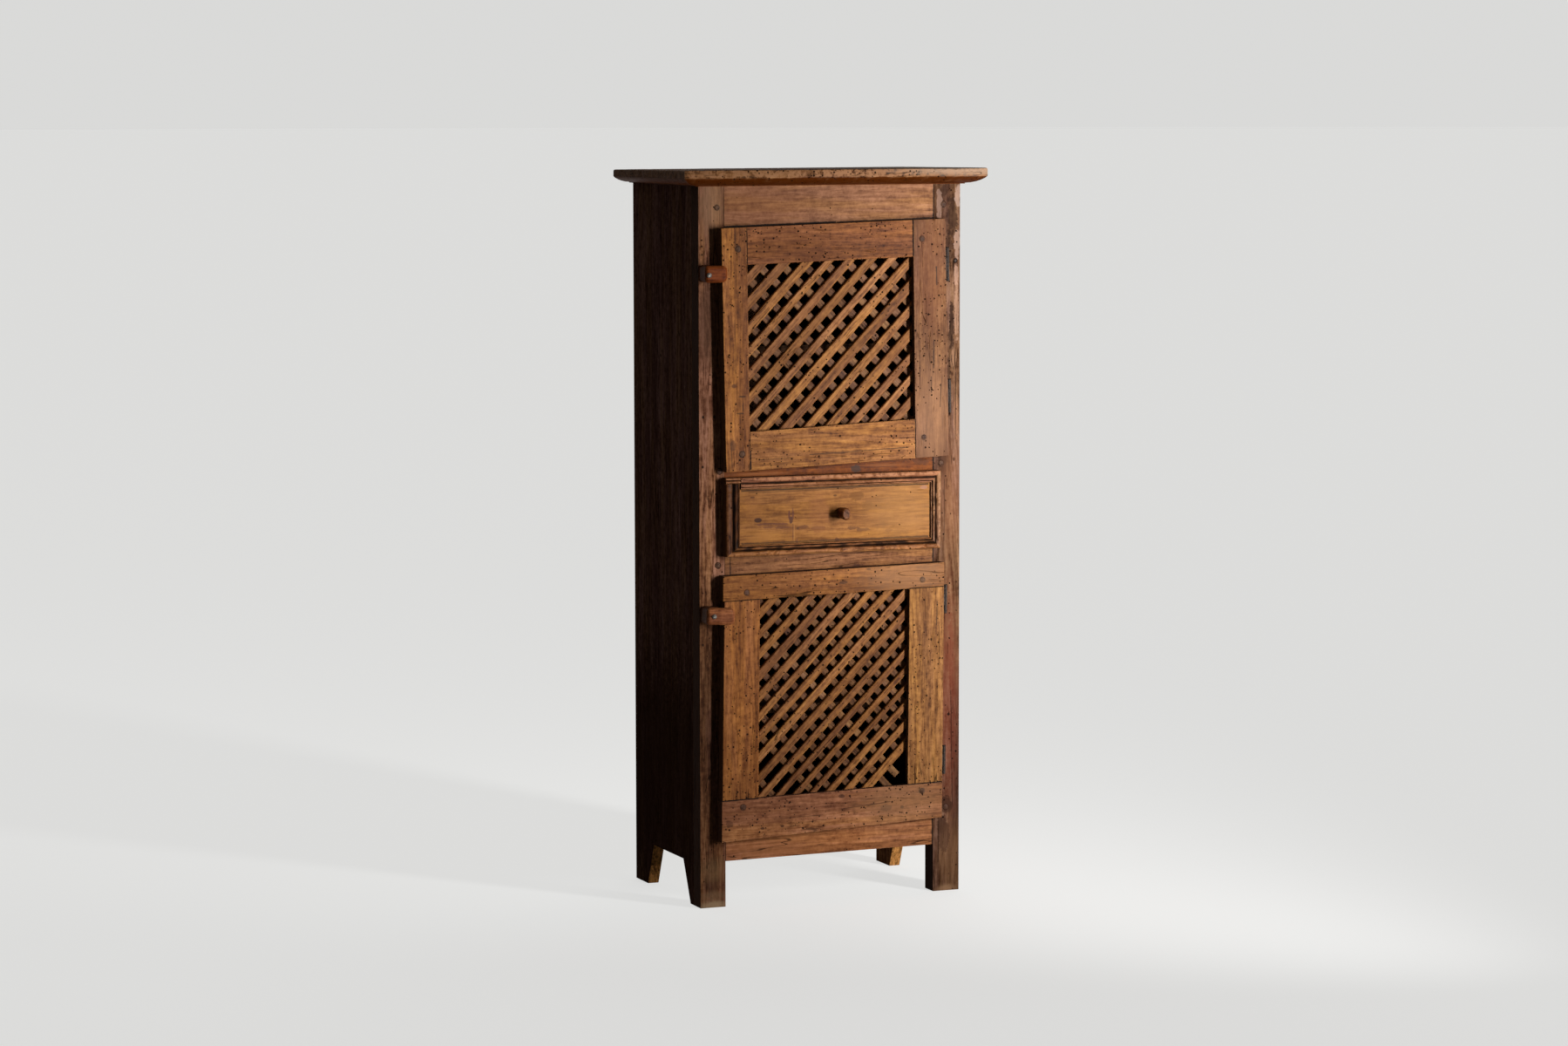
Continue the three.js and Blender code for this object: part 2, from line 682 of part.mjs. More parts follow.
// A door: two stiles and two rails, tenoned together, with a rebate behind for the lattice
function doorPieces(door, latticeSpec) {
  const group = new THREE.Group();
  root.add(group);
  const { outer, opening, stileFree } = doorLines(door);
  const rebate = frontPlate(
    between(grown(opening, latticeRebateWidth)), doorFront + latticeSetback - pieceGap, cutOverrun);
  const seats = hinges.filter((hinge) => hinge.name.startsWith(door.name))
    .map((hinge) => transformed(hinge.seat, hinge.place));
  const tenonY = [doorFront + doorTenonSetback, doorFront + doorTenonSetback + doorTenonThickness];
  const stileGap = door.stilesRunThrough ? 0 : pieceGap;
  const railGap = door.stilesRunThrough ? pieceGap : 0;
  const members = {
    stile_free: {
      left: stileFree, right: opening.left, lower: outer.lower, upper: outer.upper,
    },
    stile_hinge: {
      left: opening.right, right: outer.right, lower: outer.lower, upper: outer.upper,
    },
    rail_top: {
      left: outer.left, right: outer.right, lower: opening.upper, upper: outer.upper,
    },
    rail_bottom: {
      left: outer.left, right: outer.right, lower: outer.lower, upper: opening.lower,
    },
  };
  if (door.stilesRunThrough) {
    [members.rail_top, members.rail_bottom].forEach((rail) => {
      rail.left = moveX(opening.left, railGap);
      rail.right = moveX(opening.right, -railGap);
    });
  } else {
    [members.stile_free, members.stile_hinge].forEach((stile) => {
      stile.lower = moveZ(opening.lower, stileGap);
      stile.upper = moveZ(opening.upper, -stileGap);
    });
  }
  const tenonMembers = door.stilesRunThrough
    ? [members.rail_top, members.rail_bottom]
    : [members.stile_free, members.stile_hinge];
  const tenons = (member, gap) => {
    const shoulder = doorTenonShoulder - gap;
    const reach = doorTenonLength + gap;
    const lines = { ...member };
    if (door.stilesRunThrough) {
      lines.left = moveX(member.left, -reach);
      lines.right = moveX(member.right, reach);
      lines.lower = moveZ(member.lower, shoulder);
      lines.upper = moveZ(member.upper, -shoulder);
    } else {
      lines.lower = moveZ(member.lower, -reach);
      lines.upper = moveZ(member.upper, reach);
      lines.left = moveX(member.left, shoulder);
      lines.right = moveX(member.right, -shoulder);
    }
    return frontPlate(between(lines), tenonY[0] - gap, tenonY[1] + gap);
  };
  Object.entries(members).forEach(([name, member]) => {
    const blank = frontPlate(between(member), doorFront, doorBack);
    const tenoned = tenonMembers.includes(member);
    const shaped = tenoned
      ? join(blank, tenons(member, 0))
      : cut(blank, ...tenonMembers.map((other) => tenons(other, pieceGap)));
    piece(`${door.name}_${name}`, cut(shaped, rebate, ...seats), doorWood, group);
  });
  piece(`${door.name}_lattice`, lattice(opening, latticeSpec), lathWood, group);
}

doorPieces(upperDoor, upperLattice);
doorPieces(lowerDoor, lowerLattice);

// Hinges in their seats
hinges.forEach((hinge) => {
  const place = new THREE.Group();
  place.applyMatrix4(hinge.place);
  root.add(place);
  piece(`${hinge.name}_case_leaf`, hinge.caseLeaf, hingeIron, place);
  piece(`${hinge.name}_door_leaf`, hinge.doorLeaf, hingeIron, place);
  piece(`${hinge.name}_pin`, hinge.pin, hingeIron, place);
});

// Turn buttons: a thick hub on the post and a thinner nose that reaches over the door
function latchBody(latch) {
  const front = doorFront - latchDoorClearance - latchNoseThickness;
  const noseBack = doorFront - latchDoorClearance;
  const half = latch.height / 2;
  const plan = [
    [-latch.leftReach, -latchStandoff], [-latch.leftReach, front + latchChamfer / 2],
    [-latch.leftReach + latchChamfer / 2, front], [latch.noseReach - latchChamfer, front],
    [latch.noseReach, front + latchChamfer], [latch.noseReach, noseBack],
    [latch.hubReach, noseBack], [latch.hubReach, -latchStandoff],
  ];
  const outline = (left, right) => {
    const shape = new THREE.Shape();
    shape.moveTo(left + latchCorner, -half);
    shape.absarc(right - latchCorner, -half + latchCorner, latchCorner, -Math.PI / 2, 0);
    shape.absarc(right - latchCorner, half - latchCorner, latchCorner, 0, Math.PI / 2);
    shape.absarc(left + latchCorner, half - latchCorner, latchCorner, Math.PI / 2, Math.PI);
    shape.absarc(left + latchCorner, -half + latchCorner, latchCorner, Math.PI, 1.5 * Math.PI);
    return shape.extractPoints(4).shape.map((point) => [point.x, point.y]);
  };
  const hubLimit = frontPlate(outline(-latch.leftReach, latch.hubReach), noseBack, 0);
  const noseLimit = frontPlate(outline(-latch.leftReach, latch.noseReach), front - cutOverrun, noseBack);
  const block = floorPlate([...plan].reverse(), -half, half);
  const button = block.intersect(join(hubLimit, noseLimit)).translate([0, 0, latch.rise]);
  const bore = facingFront(rod(nailRadius + runningClearance, -cutOverrun, -front + cutOverrun));
  return cut(button, bore);
}

function latchNail() {
  const front = -(doorFront - latchDoorClearance - latchNoseThickness);
  const headFoot = front + pieceGap;
  const nail = turned([
    [0, -nailDepth], [nailRadius, -nailDepth], [nailRadius, headFoot], [nailHeadRadius, headFoot],
    [nailHeadRadius, headFoot + nailHeadHeight / 2], [nailHeadRadius * 0.6, headFoot + nailHeadHeight],
    [0, headFoot + nailHeadHeight],
  ]);
  return facingFront(nail);
}

[[upperLatch, upperDoor], [lowerLatch, lowerDoor]].forEach(([latch, door]) => {
  const place = new THREE.Group();
  place.position.set(latch.fromLeft, 0, doorLines(door).corners.topHinge[1] - door.latchDrop);
  place.rotation.y = THREE.MathUtils.degToRad(latch.tilt);
  root.add(place);
  piece(latch.name, latchBody(latch), latchWood, place);
  piece(`${latch.name}_nail`, latchNail(), nailSteel, place);
});

// Drawer: a box behind a moulded front, with a peg knob
const drawer = new THREE.Group();
root.add(drawer);
const drawerLeft = innerLeft + drawerClearance;
const drawerRight = innerRight - drawerClearance;
const drawerFloor = dividerTop + drawerClearance / 2;
const drawerSideTop = upperDrawerRailBottom - drawerTopClearance;
const drawerFrontBack = -drawerFrontGap;
const drawerBottomLevel = drawerFloor + drawerBottomLift;
const drawerBottom = box(
  drawerLeft + drawerSideThickness - drawerGrooveDepth, drawerRight - drawerSideThickness + drawerGrooveDepth,
  drawerFrontBack, drawerLength, drawerBottomLevel, drawerBottomLevel + drawerBottomThickness);
const knobX = (drawerFrontLeft + drawerFrontRight) / 2 + knobFromMiddle;
const knobZ = drawerFrontBottom + knobFromBottom;
const knobHole = facingFront(rod(knobTenonRadius + pieceGap, -cutOverrun, -drawerFace + cutOverrun))
  .translate([knobX, 0, knobZ]);
piece('drawer_front', cut(box(
  drawerFrontLeft, drawerFrontRight, drawerFace, drawerFrontBack,
  drawerFrontBottom, drawerFrontTop), knobHole), drawerWood, drawer);
piece('drawer_bottom', drawerBottom, insideWood, drawer);
piece('drawer_side_left', cut(box(
  drawerLeft, drawerLeft + drawerSideThickness, drawerFrontBack, drawerLength, drawerFloor, drawerSideTop),
drawerBottom), insideWood, drawer);
piece('drawer_side_right', cut(box(
  drawerRight - drawerSideThickness, drawerRight, drawerFrontBack, drawerLength, drawerFloor, drawerSideTop),
drawerBottom), insideWood, drawer);
piece('drawer_back', box(
  drawerLeft + drawerSideThickness, drawerRight - drawerSideThickness, drawerLength - drawerSideThickness,
  drawerLength, drawerBottomLevel + drawerBottomThickness, drawerSideTop), insideWood, drawer);

// Mouldings round the drawer front, mitred at the corners. A strip is laid out with its outer edge
// along its own X axis and its moulded face up, then turned into place.
function mouldingStrip(length, width, startMitre, endMitre) {
  const ringPoints = (end) => mouldingAcrossShares.map((across, index) => {
    const along = end ? length - across * endMitre - pieceGap / 2 : across * startMitre + pieceGap / 2;
    return [along, across * width, mouldingHeightShares[index] * mouldingThickness];
  });
  const count = mouldingAcrossShares.length;
  const positions = [...ringPoints(false), ...ringPoints(true)].flat();
  const index = [];
  for (let step = 0; step < count; step += 1) {
    const next = (step + 1) % count;
    index.push(step, step + count, next + count, step, next + count, next);
  }
  const profile = mouldingAcrossShares.map((across, step) => new THREE.Vector2(across, mouldingHeightShares[step]));
  THREE.ShapeUtils.triangulateShape(profile, []).forEach(([a, b, c]) => {
    index.push(a, c, b, a + count, b + count, c + count);
  });
  const geometry = new THREE.BufferGeometry();
  geometry.setAttribute('position', new THREE.BufferAttribute(new Float32Array(positions), 3));
  geometry.setIndex(index);
  return geometry;
}

function mouldingPiece(side, length, startMitre, endMitre, corner, along, inward) {
  const geometry = mouldingStrip(length, mouldingWidths[side], startMitre, endMitre);
  const place = new THREE.Matrix4().makeBasis(along, inward, new THREE.Vector3(0, -1, 0));
  place.setPosition(corner[0], drawerFace, corner[1]);
  geometry.applyMatrix4(place);
  const body = solid(geometry);
  piece(`drawer_moulding_${side}`, body, mouldingWood, drawer);
}

const rightward = new THREE.Vector3(1, 0, 0);
const leftward = new THREE.Vector3(-1, 0, 0);
const upward = new THREE.Vector3(0, 0, 1);
const downward = new THREE.Vector3(0, 0, -1);
mouldingPiece('bottom', drawerFrontWidth, mouldingWidths.left, mouldingWidths.right,
  [drawerFrontLeft, drawerFrontBottom], rightward, upward);
mouldingPiece('right', drawerFrontHeight, mouldingWidths.bottom, mouldingWidths.top,
  [drawerFrontRight, drawerFrontBottom], upward, leftward);
mouldingPiece('top', drawerFrontWidth, mouldingWidths.right, mouldingWidths.left,
  [drawerFrontRight, drawerFrontTop], leftward, downward);
mouldingPiece('left', drawerFrontHeight, mouldingWidths.top, mouldingWidths.bottom,
  [drawerFrontLeft, drawerFrontTop], downward, rightward);

// Knob: a tapered whittled peg whose tenon passes through the drawer front
const knobBase = -drawerFace;
const knobProfile = [
  [0, drawerFrontGap], [knobTenonRadius, drawerFrontGap], [knobTenonRadius, knobBase + pieceGap],
  [knobFootRadius, knobBase + pieceGap], [knobTipRadius, knobBase + knobLength - knobTipRounding],
  [knobTipRadius - knobTipRounding, knobBase + knobLength], [0, knobBase + knobLength],
];
const knobBody = turned(knobProfile, knobSides).scale([knobFlatShare, 1, 1]);
piece('drawer_knob', facingFront(knobBody).translate([knobX, 0, knobZ]), knobWood, drawer);

export default root;
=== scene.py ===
import math
import random

import bmesh
import bpy
from mathutils import Matrix, Vector, noise


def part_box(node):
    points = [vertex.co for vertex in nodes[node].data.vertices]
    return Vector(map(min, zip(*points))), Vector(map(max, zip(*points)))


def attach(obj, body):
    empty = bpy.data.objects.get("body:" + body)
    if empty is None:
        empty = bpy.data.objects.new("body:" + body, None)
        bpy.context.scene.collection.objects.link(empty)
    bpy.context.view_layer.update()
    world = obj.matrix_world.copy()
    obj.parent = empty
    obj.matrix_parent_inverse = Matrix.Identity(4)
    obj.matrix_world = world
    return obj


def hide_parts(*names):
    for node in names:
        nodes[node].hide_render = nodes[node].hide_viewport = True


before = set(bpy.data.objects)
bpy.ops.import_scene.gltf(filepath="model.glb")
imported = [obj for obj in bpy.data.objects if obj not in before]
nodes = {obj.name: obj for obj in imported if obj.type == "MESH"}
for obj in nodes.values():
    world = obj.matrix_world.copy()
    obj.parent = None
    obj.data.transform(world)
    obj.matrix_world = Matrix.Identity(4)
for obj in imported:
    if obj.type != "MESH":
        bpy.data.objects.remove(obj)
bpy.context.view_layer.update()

# Lengths are in millimetres, from the case's left side, its front face and the floor. Those of the camera,
# the lamp and the floor are in metres of the shared frame. Angles are in degrees.
MM = 0.001
CASE_MIDDLE = Vector((287.5, 169.75, 0))

# Camera: its tilt is up from straight down, and its lens and sensor are in millimetres
CAMERA_PLACE = (-3.4613, -8.57175, 1.6789)
CAMERA_LENS = 102.607
CAMERA_SENSOR = 36
CAMERA_TILT = 84.3394
CAMERA_TURN = -21.786
CAMERA_ROLL = -0.095
CAMERA_REACH = 400

# Light: one tall narrow lamp to the right of the front, a weak even fill, and a soft glow from behind
KEY_PLACE = (1.08, -2, 1.02)
KEY_AIM = (0.45, -0.15, 0.98)
KEY_SIZE = (0.22, 1.2)
KEY_POWER = 17
KEY_SPREAD = 74
FILL_STRENGTH = 0.06
BACK_GLOW = 1.7
BACK_GLOW_FROM = Vector((0.35, 0.93, 0.12)).normalized()
BACK_GLOW_EDGE = 0.5
PALE = (0.7, 0.7, 0.69)
FLOOR_TONE = (0.4, 0.4, 0.394)
FLOOR_ROUGH = 0.8
FLOOR_RADIUS = 150
FLOOR_SIDES = 96
FLOOR_GLOW = 0.93

# Levels of the front faces
DOOR_FRONT = -25
DRAWER_FRONT = -16.5
POST_FRONT = 0


def at(x, y, z):
    """A point of the case in the shared frame, in metres."""
    return (Vector((x, y, z)) - CASE_MIDDLE) * MM


def colour(red, green, blue):
    """A shader colour from screen values of 0 to 255."""
    def linear(value):
        share = value / 255
        return share / 12.92 if share <= 0.04045 else ((share + 0.055) / 1.055) ** 2.4

    return (linear(red), linear(green), linear(blue), 1)


def scaled(tone, shares):
    """A colour with each channel times its share."""
    return tuple(min(1, value * share) for value, share in zip(tone, shares)) + (1,)


class Nodes:
    """Short calls that build a node tree."""

    def __init__(self, tree):
        self.tree = tree

    def feed(self, socket, value):
        if isinstance(value, bpy.types.NodeSocket):
            self.tree.links.new(value, socket)
        else:
            socket.default_value = value

    def add(self, kind, inputs=(), **settings):
        """A new node, with other sockets or plain values for its inputs, by name or by number."""
        made = self.tree.nodes.new("ShaderNode" + kind)
        for key, value in settings.items():
            setattr(made, key, value)
        for key, value in dict(inputs).items():
            self.feed(made.inputs[key], value)
        return made

    def maths(self, operation, *values, clamp=False):
        return self.add("Math", enumerate(values), operation=operation, use_clamp=clamp).outputs[0]

    def product(self, first, second):
        return self.maths("MULTIPLY", first, second)

    def plus(self, first, weight, second, clamp=False):
        """The first value times a weight, plus the second."""
        return self.maths("MULTIPLY_ADD", first, weight, second, clamp=clamp)

    def sway(self, value, weight, middle):
        """The middle value, moved up and down by a pattern that runs from 0 to 1."""
        return self.plus(self.maths("SUBTRACT", value, 0.5), weight, middle)

    def vector(self, operation, *values):
        made = self.add("VectorMath", enumerate(values), operation=operation)
        return made.outputs["Value" if operation in ("DOT_PRODUCT", "LENGTH") else 0]

    def mix(self, share, first, second):
        return self.add("Mix", {0: share, 6: first, 7: second}, data_type="RGBA").outputs[2]

    def ramp(self, value, low, high, start=0, end=1):
        numbers = {"Value": value, "From Min": low, "From Max": high, "To Min": start, "To Max": end}
        return self.add("MapRange", numbers, interpolation_type="SMOOTHSTEP").outputs[0]

    def noise(self, vector, scale, detail, rough, distortion=0):
        numbers = {"Scale": scale, "Detail": detail, "Roughness": rough, "Distortion": distortion}
        return self.add("TexNoise", {"Vector": vector, **numbers}).outputs[0]

    def facing(self):
        """How far a surface looks right, back and up."""
        return self.add("SeparateXYZ", {0: self.add("TexCoord").outputs["Normal"]}).outputs

    def seen(self):
        """1 for what the camera sees, also in a reflection or through glass, and 0 for light."""
        path = self.add("LightPath").outputs
        direct = self.maths("MAXIMUM", path["Is Camera Ray"], path["Is Glossy Ray"])
        return self.maths("MAXIMUM", direct, path["Is Transmission Ray"])

    def surface(self, base, roughness, height, bump_strength, bump_depth, key, number):
        """A shader with bump and one more number, and the output that it goes to."""
        bump = self.add("Bump", {"Strength": bump_strength, "Distance": bump_depth * MM, "Height": height})
        looks = {"Base Color": base, "Roughness": roughness, "Normal": bump.outputs[0], key: number}
        shader = self.add("BsdfPrincipled", looks)
        self.add("OutputMaterial", {"Surface": shader.outputs[0]})


def blank_material(name):
    """A new material, and the calls that fill its empty node tree."""
    material = bpy.data.materials.new(name)
    material.use_nodes = True
    material.node_tree.nodes.clear()
    return material, Nodes(material.node_tree)


# Noise of each wood pattern: the place that it follows, scale, detail, roughness and distortion.
# Grain is the place pressed together along the fibres.
pattern_noises = {
    "figure": ("grain", 17, 7, 0.72, 0.35),
    "rings": ("grain", 15, 1.5, 0.45),
    "fibre": ("grain", 205, 4, 0.7),
    "patch": ("grain", 32, 3, 0.6),
    "blotch": ("place", 8, 5, 0.62),
    "mottle": ("place", 85, 5, 0.7),
    "dash": ("grain", 260, 2, 0.5),
    "dash_crowd": ("place", 22, 2, 0.55),
    "hole_crowd": ("place", 13, 2, 0.55),
    "crack": ("grain", 48, 2, 0.5, 0.2),
    "crack_crowd": ("place", 6.5, 2, 0.55),
    "edge": ("place", 70, 4, 0.7),
}
RING_DENSITY = 95
EDGE_WIDTH = 4.5
# Worm holes of two sizes: cells to the metre, and a hole's radius as a share of a cell
worm_shares = [(72, 0.15), (118, 0.17)]


def wood_group():
    """Patterns that every wooden piece shares, as a node group."""
    tree = bpy.data.node_groups.new("wood_patterns", "ShaderNodeTree")
    for name in ("Grain", "Place"):
        tree.interface.new_socket(name, in_out="INPUT", socket_type="NodeSocketVector")
    tree.interface.new_socket("Holes", in_out="INPUT", socket_type="NodeSocketFloat")
    n = Nodes(tree)
    start = tree.nodes.new("NodeGroupInput")
    grain, place, holes = start.outputs[:3]
    made = {}
    for name, (followed, *numbers) in pattern_noises.items():
        made[name] = n.noise(grain if followed == "grain" else place, *numbers)
    made["rings"] = n.plus(n.maths("SINE", n.product(made["rings"], RING_DENSITY)), 0.5, 0.5)
    made["dash"] = n.product(n.ramp(made["dash"], 0.64, 0.69), n.ramp(made["dash_crowd"], 0.42, 0.6))
    crowd = n.ramp(made["hole_crowd"], 0.36, 0.62)

    def worm(scale, radius):
        cells = n.add("TexVoronoi", {"Vector": place, "Scale": scale}, feature="F1")
        near = n.ramp(cells.outputs["Distance"], radius * 1.15, radius * 0.85)
        chance = n.add("SeparateColor", {0: cells.outputs["Color"]}).outputs[0]
        kept = n.maths("LESS_THAN", chance, n.product(holes, crowd))
        return n.product(near, kept)

    made["hole"] = n.maths("MAXIMUM", *(worm(*shares) for shares in worm_shares))
    line = n.maths("ABSOLUTE", n.maths("SUBTRACT", made["crack"], 0.5))
    made["crack"] = n.product(n.ramp(line, 0.014, 0.004), n.ramp(made["crack_crowd"], 0.54, 0.66))
    bevel = n.add("Bevel", {"Radius": EDGE_WIDTH * MM}, samples=4)
    true_normal = n.add("NewGeometry").outputs["Normal"]
    bend = n.vector("DOT_PRODUCT", bevel.outputs[0], true_normal)
    edge = n.ramp(n.maths("SUBTRACT", 1, bend), 0.02, 0.2)
    made["edge"] = n.product(edge, n.ramp(made["edge"], 0.34, 0.62))
    results = [name for name in made if not name.endswith("_crowd")]
    for name in results:
        tree.interface.new_socket(name, in_out="OUTPUT", socket_type="NodeSocketFloat")
    end = tree.nodes.new("NodeGroupOutput")
    for name in results:
        tree.links.new(made[name], end.inputs[name])
    return tree


patterns = wood_group()
GRAIN_SQUEEZE = 0.085
squeezes = {"X": (GRAIN_SQUEEZE, 1, 1), "Y": (1, GRAIN_SQUEEZE, 1), "Z": (1, 1, GRAIN_SQUEEZE)}
# Dark of joints, holes and cracks, and of painted shadow lines
gap_and_shadow_dark = (16, 9, 6)
dark_mark = colour(12, 7, 5)
# Colour of the painted shade on faces that look to the left or up
SIDE_SHADE_TONE = (34, 18, 11)
# How the base tone changes in each channel: dark and light streaks at full contrast, stains, and worn edges
dark_shares = (0.72, 0.84, 0.92)
light_shares = (0.62, 0.7, 0.62)
stain_shares = (0.36, 0.26, 0.24)
worn_shares = (1.75, 1.85, 1.9)
# Powers of the shade in each channel, which keep dark streaks warm
warm_powers = (0.82, 1, 1.15)
LEAST_SHADE = 0.05
RINGS_WEIGHT = -0.75
FIBRE_WEIGHT = 1.15
CLOUD_WEIGHT = 0.9
RAW_AND_LIT_WEIGHT = 0.85
MARK_WEIGHT = 0.93
GOLDEN_TINT = (1.05, 0.985, 0.84, 1)
MAUVE_TINT = (1, 0.94, 1.08, 1)
# Paler wood on faces that look one way, which on the side boards' front faces is also painted light
RAW_AND_LIT_TONE = (196, 136, 74)
# Spots of a greater half width fade out softly
WASH_HALF_WIDTH = 22
LINE_UNEVEN = 1.6
WOOD_BUMP, WOOD_BUMP_DEPTH = 0.55, 1.3
METAL_BUMP, METAL_BUMP_DEPTH = 0.4, 0.5


def wood(name, tone, axis="Z", contrast=0.5, rings=0.35, fibre=0.65, holes=0.35, crack=0.8, wear=0.5,
         stain=0.5, rough=0.55, shine=0.08, dashes=0.5, spots=(), by_lath=False, relief=False,
         hollow_dirt_and_shade_tone=(20, 11, 7), left_dirt=0, mottle=2.2, lines=(), raw_side=0, raw_tone=RAW_AND_LIT_TONE):
    """Old waxed wood: streaks, rings, pores, worm holes, cracks, stains, worn edges and placed marks.

    A spot is (x, z, half width, half height, colour, strength, unevenness). A piece with relief has the
    attribute of that name, which is low in hollows, darkened there as grime and as painted shade, and high
    where the wood is worn pale, which is also a painted highlight.
    Painted side shade is how far the faces that look to the left or up are darkened, as painted shade. Where
    raw_side is -1 the faces that look to the front show paler wood, which there is also painted
    light, and where it is 1 those that look to the back. A line is a dark joint, a crack or a painted shadow
    line: (x from, z from, x to, z to, half width, strength).
    """
    material, n = blank_material(name)
    seed = random.Random(name)
    shift = tuple(seed.uniform(-9, 9) for _ in range(3))
    if by_lath:
        place = n.add("Attribute", attribute_name="along_lath").outputs["Vector"]
        axis = "X"
    else:
        place = n.add("TexCoord").outputs["Object"]
    moved = n.vector("ADD", place, shift)
    grain = n.vector("MULTIPLY", moved, squeezes[axis])
    out = n.add("Group", {"Grain": grain, "Place": moved, "Holes": holes}, node_tree=patterns).outputs
    base_tone = colour(*tone)
    dark = scaled(base_tone, [1 - share * contrast for share in dark_shares])
    light = scaled(base_tone, [1 + share * contrast for share in light_shares])
    base = n.mix(n.ramp(out["figure"], 0.38, 0.61), dark, light)
    shade = n.sway(out["rings"], RINGS_WEIGHT * rings, 1)
    shade = n.sway(n.ramp(out["fibre"], 0.36, 0.64), FIBRE_WEIGHT * fibre, shade)
    shade = n.sway(out["mottle"], mottle, shade)
    shade = n.sway(out["blotch"], CLOUD_WEIGHT, shade)
    if by_lath:
        shade = n.product(shade, n.add("Attribute", attribute_name="lath_tone").outputs["Fac"])
    shade = n.maths("MAXIMUM", shade, LEAST_SHADE)
    warm_shade = n.add("CombineXYZ", enumerate(n.maths("POWER", shade, power) for power in warm_powers))
    base = n.vector("MULTIPLY", base, warm_shade.outputs[0])
    tint = n.mix(n.ramp(out["patch"], 0.4, 0.6), MAUVE_TINT, GOLDEN_TINT)
    base = n.vector("MULTIPLY", base, tint)
    stain_tone = scaled(base_tone, stain_shares)
    base = n.mix(n.product(n.ramp(out["blotch"], 0.5, 0.72), stain), base, stain_tone)
    wear_tone = scaled(base_tone, worn_shares)
    base = n.mix(n.product(out["edge"], wear), base, wear_tone)
    # Relief: hollows darkened as grime and painted shade, crests made pale as wear and painted highlight
    if relief:
        level = n.add("Attribute", attribute_name="relief").outputs["Fac"]
        base = n.mix(n.product(n.ramp(level, 0.5, 0.12), 0.95), base, colour(*hollow_dirt_and_shade_tone))
        rubbed_and_highlight = n.product(n.ramp(level, 0.62, 0.95), n.ramp(out["mottle"], 0.4, 0.56))
        base = n.mix(n.product(rubbed_and_highlight, wear), base, wear_tone)
    for x, z, half_width, half_height, spot_tone, strength, uneven in spots:
        centre = at(x, 0, z)
        away = n.vector("SUBTRACT", place, (centre.x, 0, centre.z))
        away = n.vector("MULTIPLY", away, (1 / (half_width * MM), 0, 1 / (half_height * MM)))
        distance = n.vector("LENGTH", away)
        distance = n.sway(out["mottle"], uneven, distance)
        outer, inner = (1.3, 0.3) if half_width > WASH_HALF_WIDTH else (1.12, 0.8)
        share = n.product(n.ramp(distance, outer, inner), strength)
        base = n.mix(share, base, colour(*spot_tone))
    # Paler wood on faces that look one way; on the side boards' front faces it is also painted light
    if raw_side:
        raw_and_lit_face = n.product(n.facing()[1], raw_side)
        raw = n.vector("MULTIPLY", colour(*raw_tone)[:3], shade)
        base = n.mix(n.product(n.ramp(raw_and_lit_face, 0.5, 0.9), RAW_AND_LIT_WEIGHT), base, raw)
    # Dark joint lines, cracks and painted shadow lines
    for x0, z0, x1, z1, half_width, strength in lines:
        start = at(x0, 0, z0)
        length = math.hypot(x1 - x0, z1 - z0)
        along = ((x1 - x0) / length, 0, (z1 - z0) / length)
        away = n.vector("SUBTRACT", place, (start.x, 0, start.z))
        aside = n.vector("DOT_PRODUCT", away, (-along[2], 0, along[0]))
        aside = n.maths("ABSOLUTE", n.sway(out["mottle"], LINE_UNEVEN * half_width * MM, aside))
        onward = n.vector("DOT_PRODUCT", away, along)
        middle_away = n.maths("ABSOLUTE", n.maths("SUBTRACT", onward, length * MM / 2))
        near = n.ramp(aside, half_width * 1.3 * MM, half_width * 0.5 * MM)
        share = n.product(near, n.ramp(middle_away, length * MM / 2, length * MM / 2 - MM))
        base = n.mix(n.product(share, strength), base, colour(*gap_and_shadow_dark))
    # Painted shade: faces that look to the left or up are darkened and made rougher
    dirt = 0
    if left_dirt:
        facing = n.facing()
        shaded_side = n.maths("MAXIMUM", n.product(facing[0], -1), facing[2])
        dirt = n.product(n.ramp(shaded_side, 0.3, 0.85), left_dirt)
        base = n.mix(dirt, base, colour(*SIDE_SHADE_TONE))
    marks = n.maths("MAXIMUM", out["hole"], n.product(out["crack"], crack))
    marks = n.maths("MAXIMUM", marks, n.product(out["dash"], dashes))
    base = n.mix(n.product(marks, MARK_WEIGHT), base, dark_mark)
    roughness = n.plus(out["blotch"], 0.2, rough - 0.1)
    roughness = n.plus(marks, 0.3, roughness)
    roughness = n.plus(dirt, 0.3, roughness, clamp=True)
    height = n.product(out["fibre"], 0.3)
    height = n.plus(out["mottle"], 0.35, height)
    height = n.plus(out["rings"], 0.12 * rings, height)
    height = n.plus(marks, -0.9, height)
    n.surface(base, roughness, height, WOOD_BUMP, WOOD_BUMP_DEPTH, "Specular IOR Level", shine)
    return material


def metal(name, tone, worn_tone, rough, metallic):
    """Old iron or steel with dull and bright patches."""
    material, n = blank_material(name)
    place = n.add("TexCoord").outputs["Object"]
    patches = n.noise(place, 260, 4, 0.7)
    grain = n.noise(place, 1400, 3, 0.6)
    base = n.mix(n.ramp(patches, 0.42, 0.66), colour(*tone), colour(*worn_tone))
    roughness = n.plus(patches, 0.35, rough - 0.15, clamp=True)
    height = n.plus(grain, 0.4, patches)
    n.surface(base, roughness, height, METAL_BUMP, METAL_BUMP_DEPTH, "Metallic", metallic)
    return material


knot_dark = (48, 24, 14)
stain_dark = (40, 24, 18)
peg_spots = {
    "post_front_left": [(40, 1424), (44, 892), (40, 701)],
    "post_front_right": [(537, 1425), (533, 893), (545, 176)],
    "upper_door_stile_free": [(75.8, 1341), (83.8, 927.5)],
    "upper_door_stile_hinge": [(478.8, 1356), (483.8, 949.6)],
    "lower_door_rail_top": [(93, 646), (481, 656)],
    "lower_door_rail_bottom": [(84, 207), (480, 217)],
}
PEG_RADIUS = 5.6
PEG_RING = 7.2
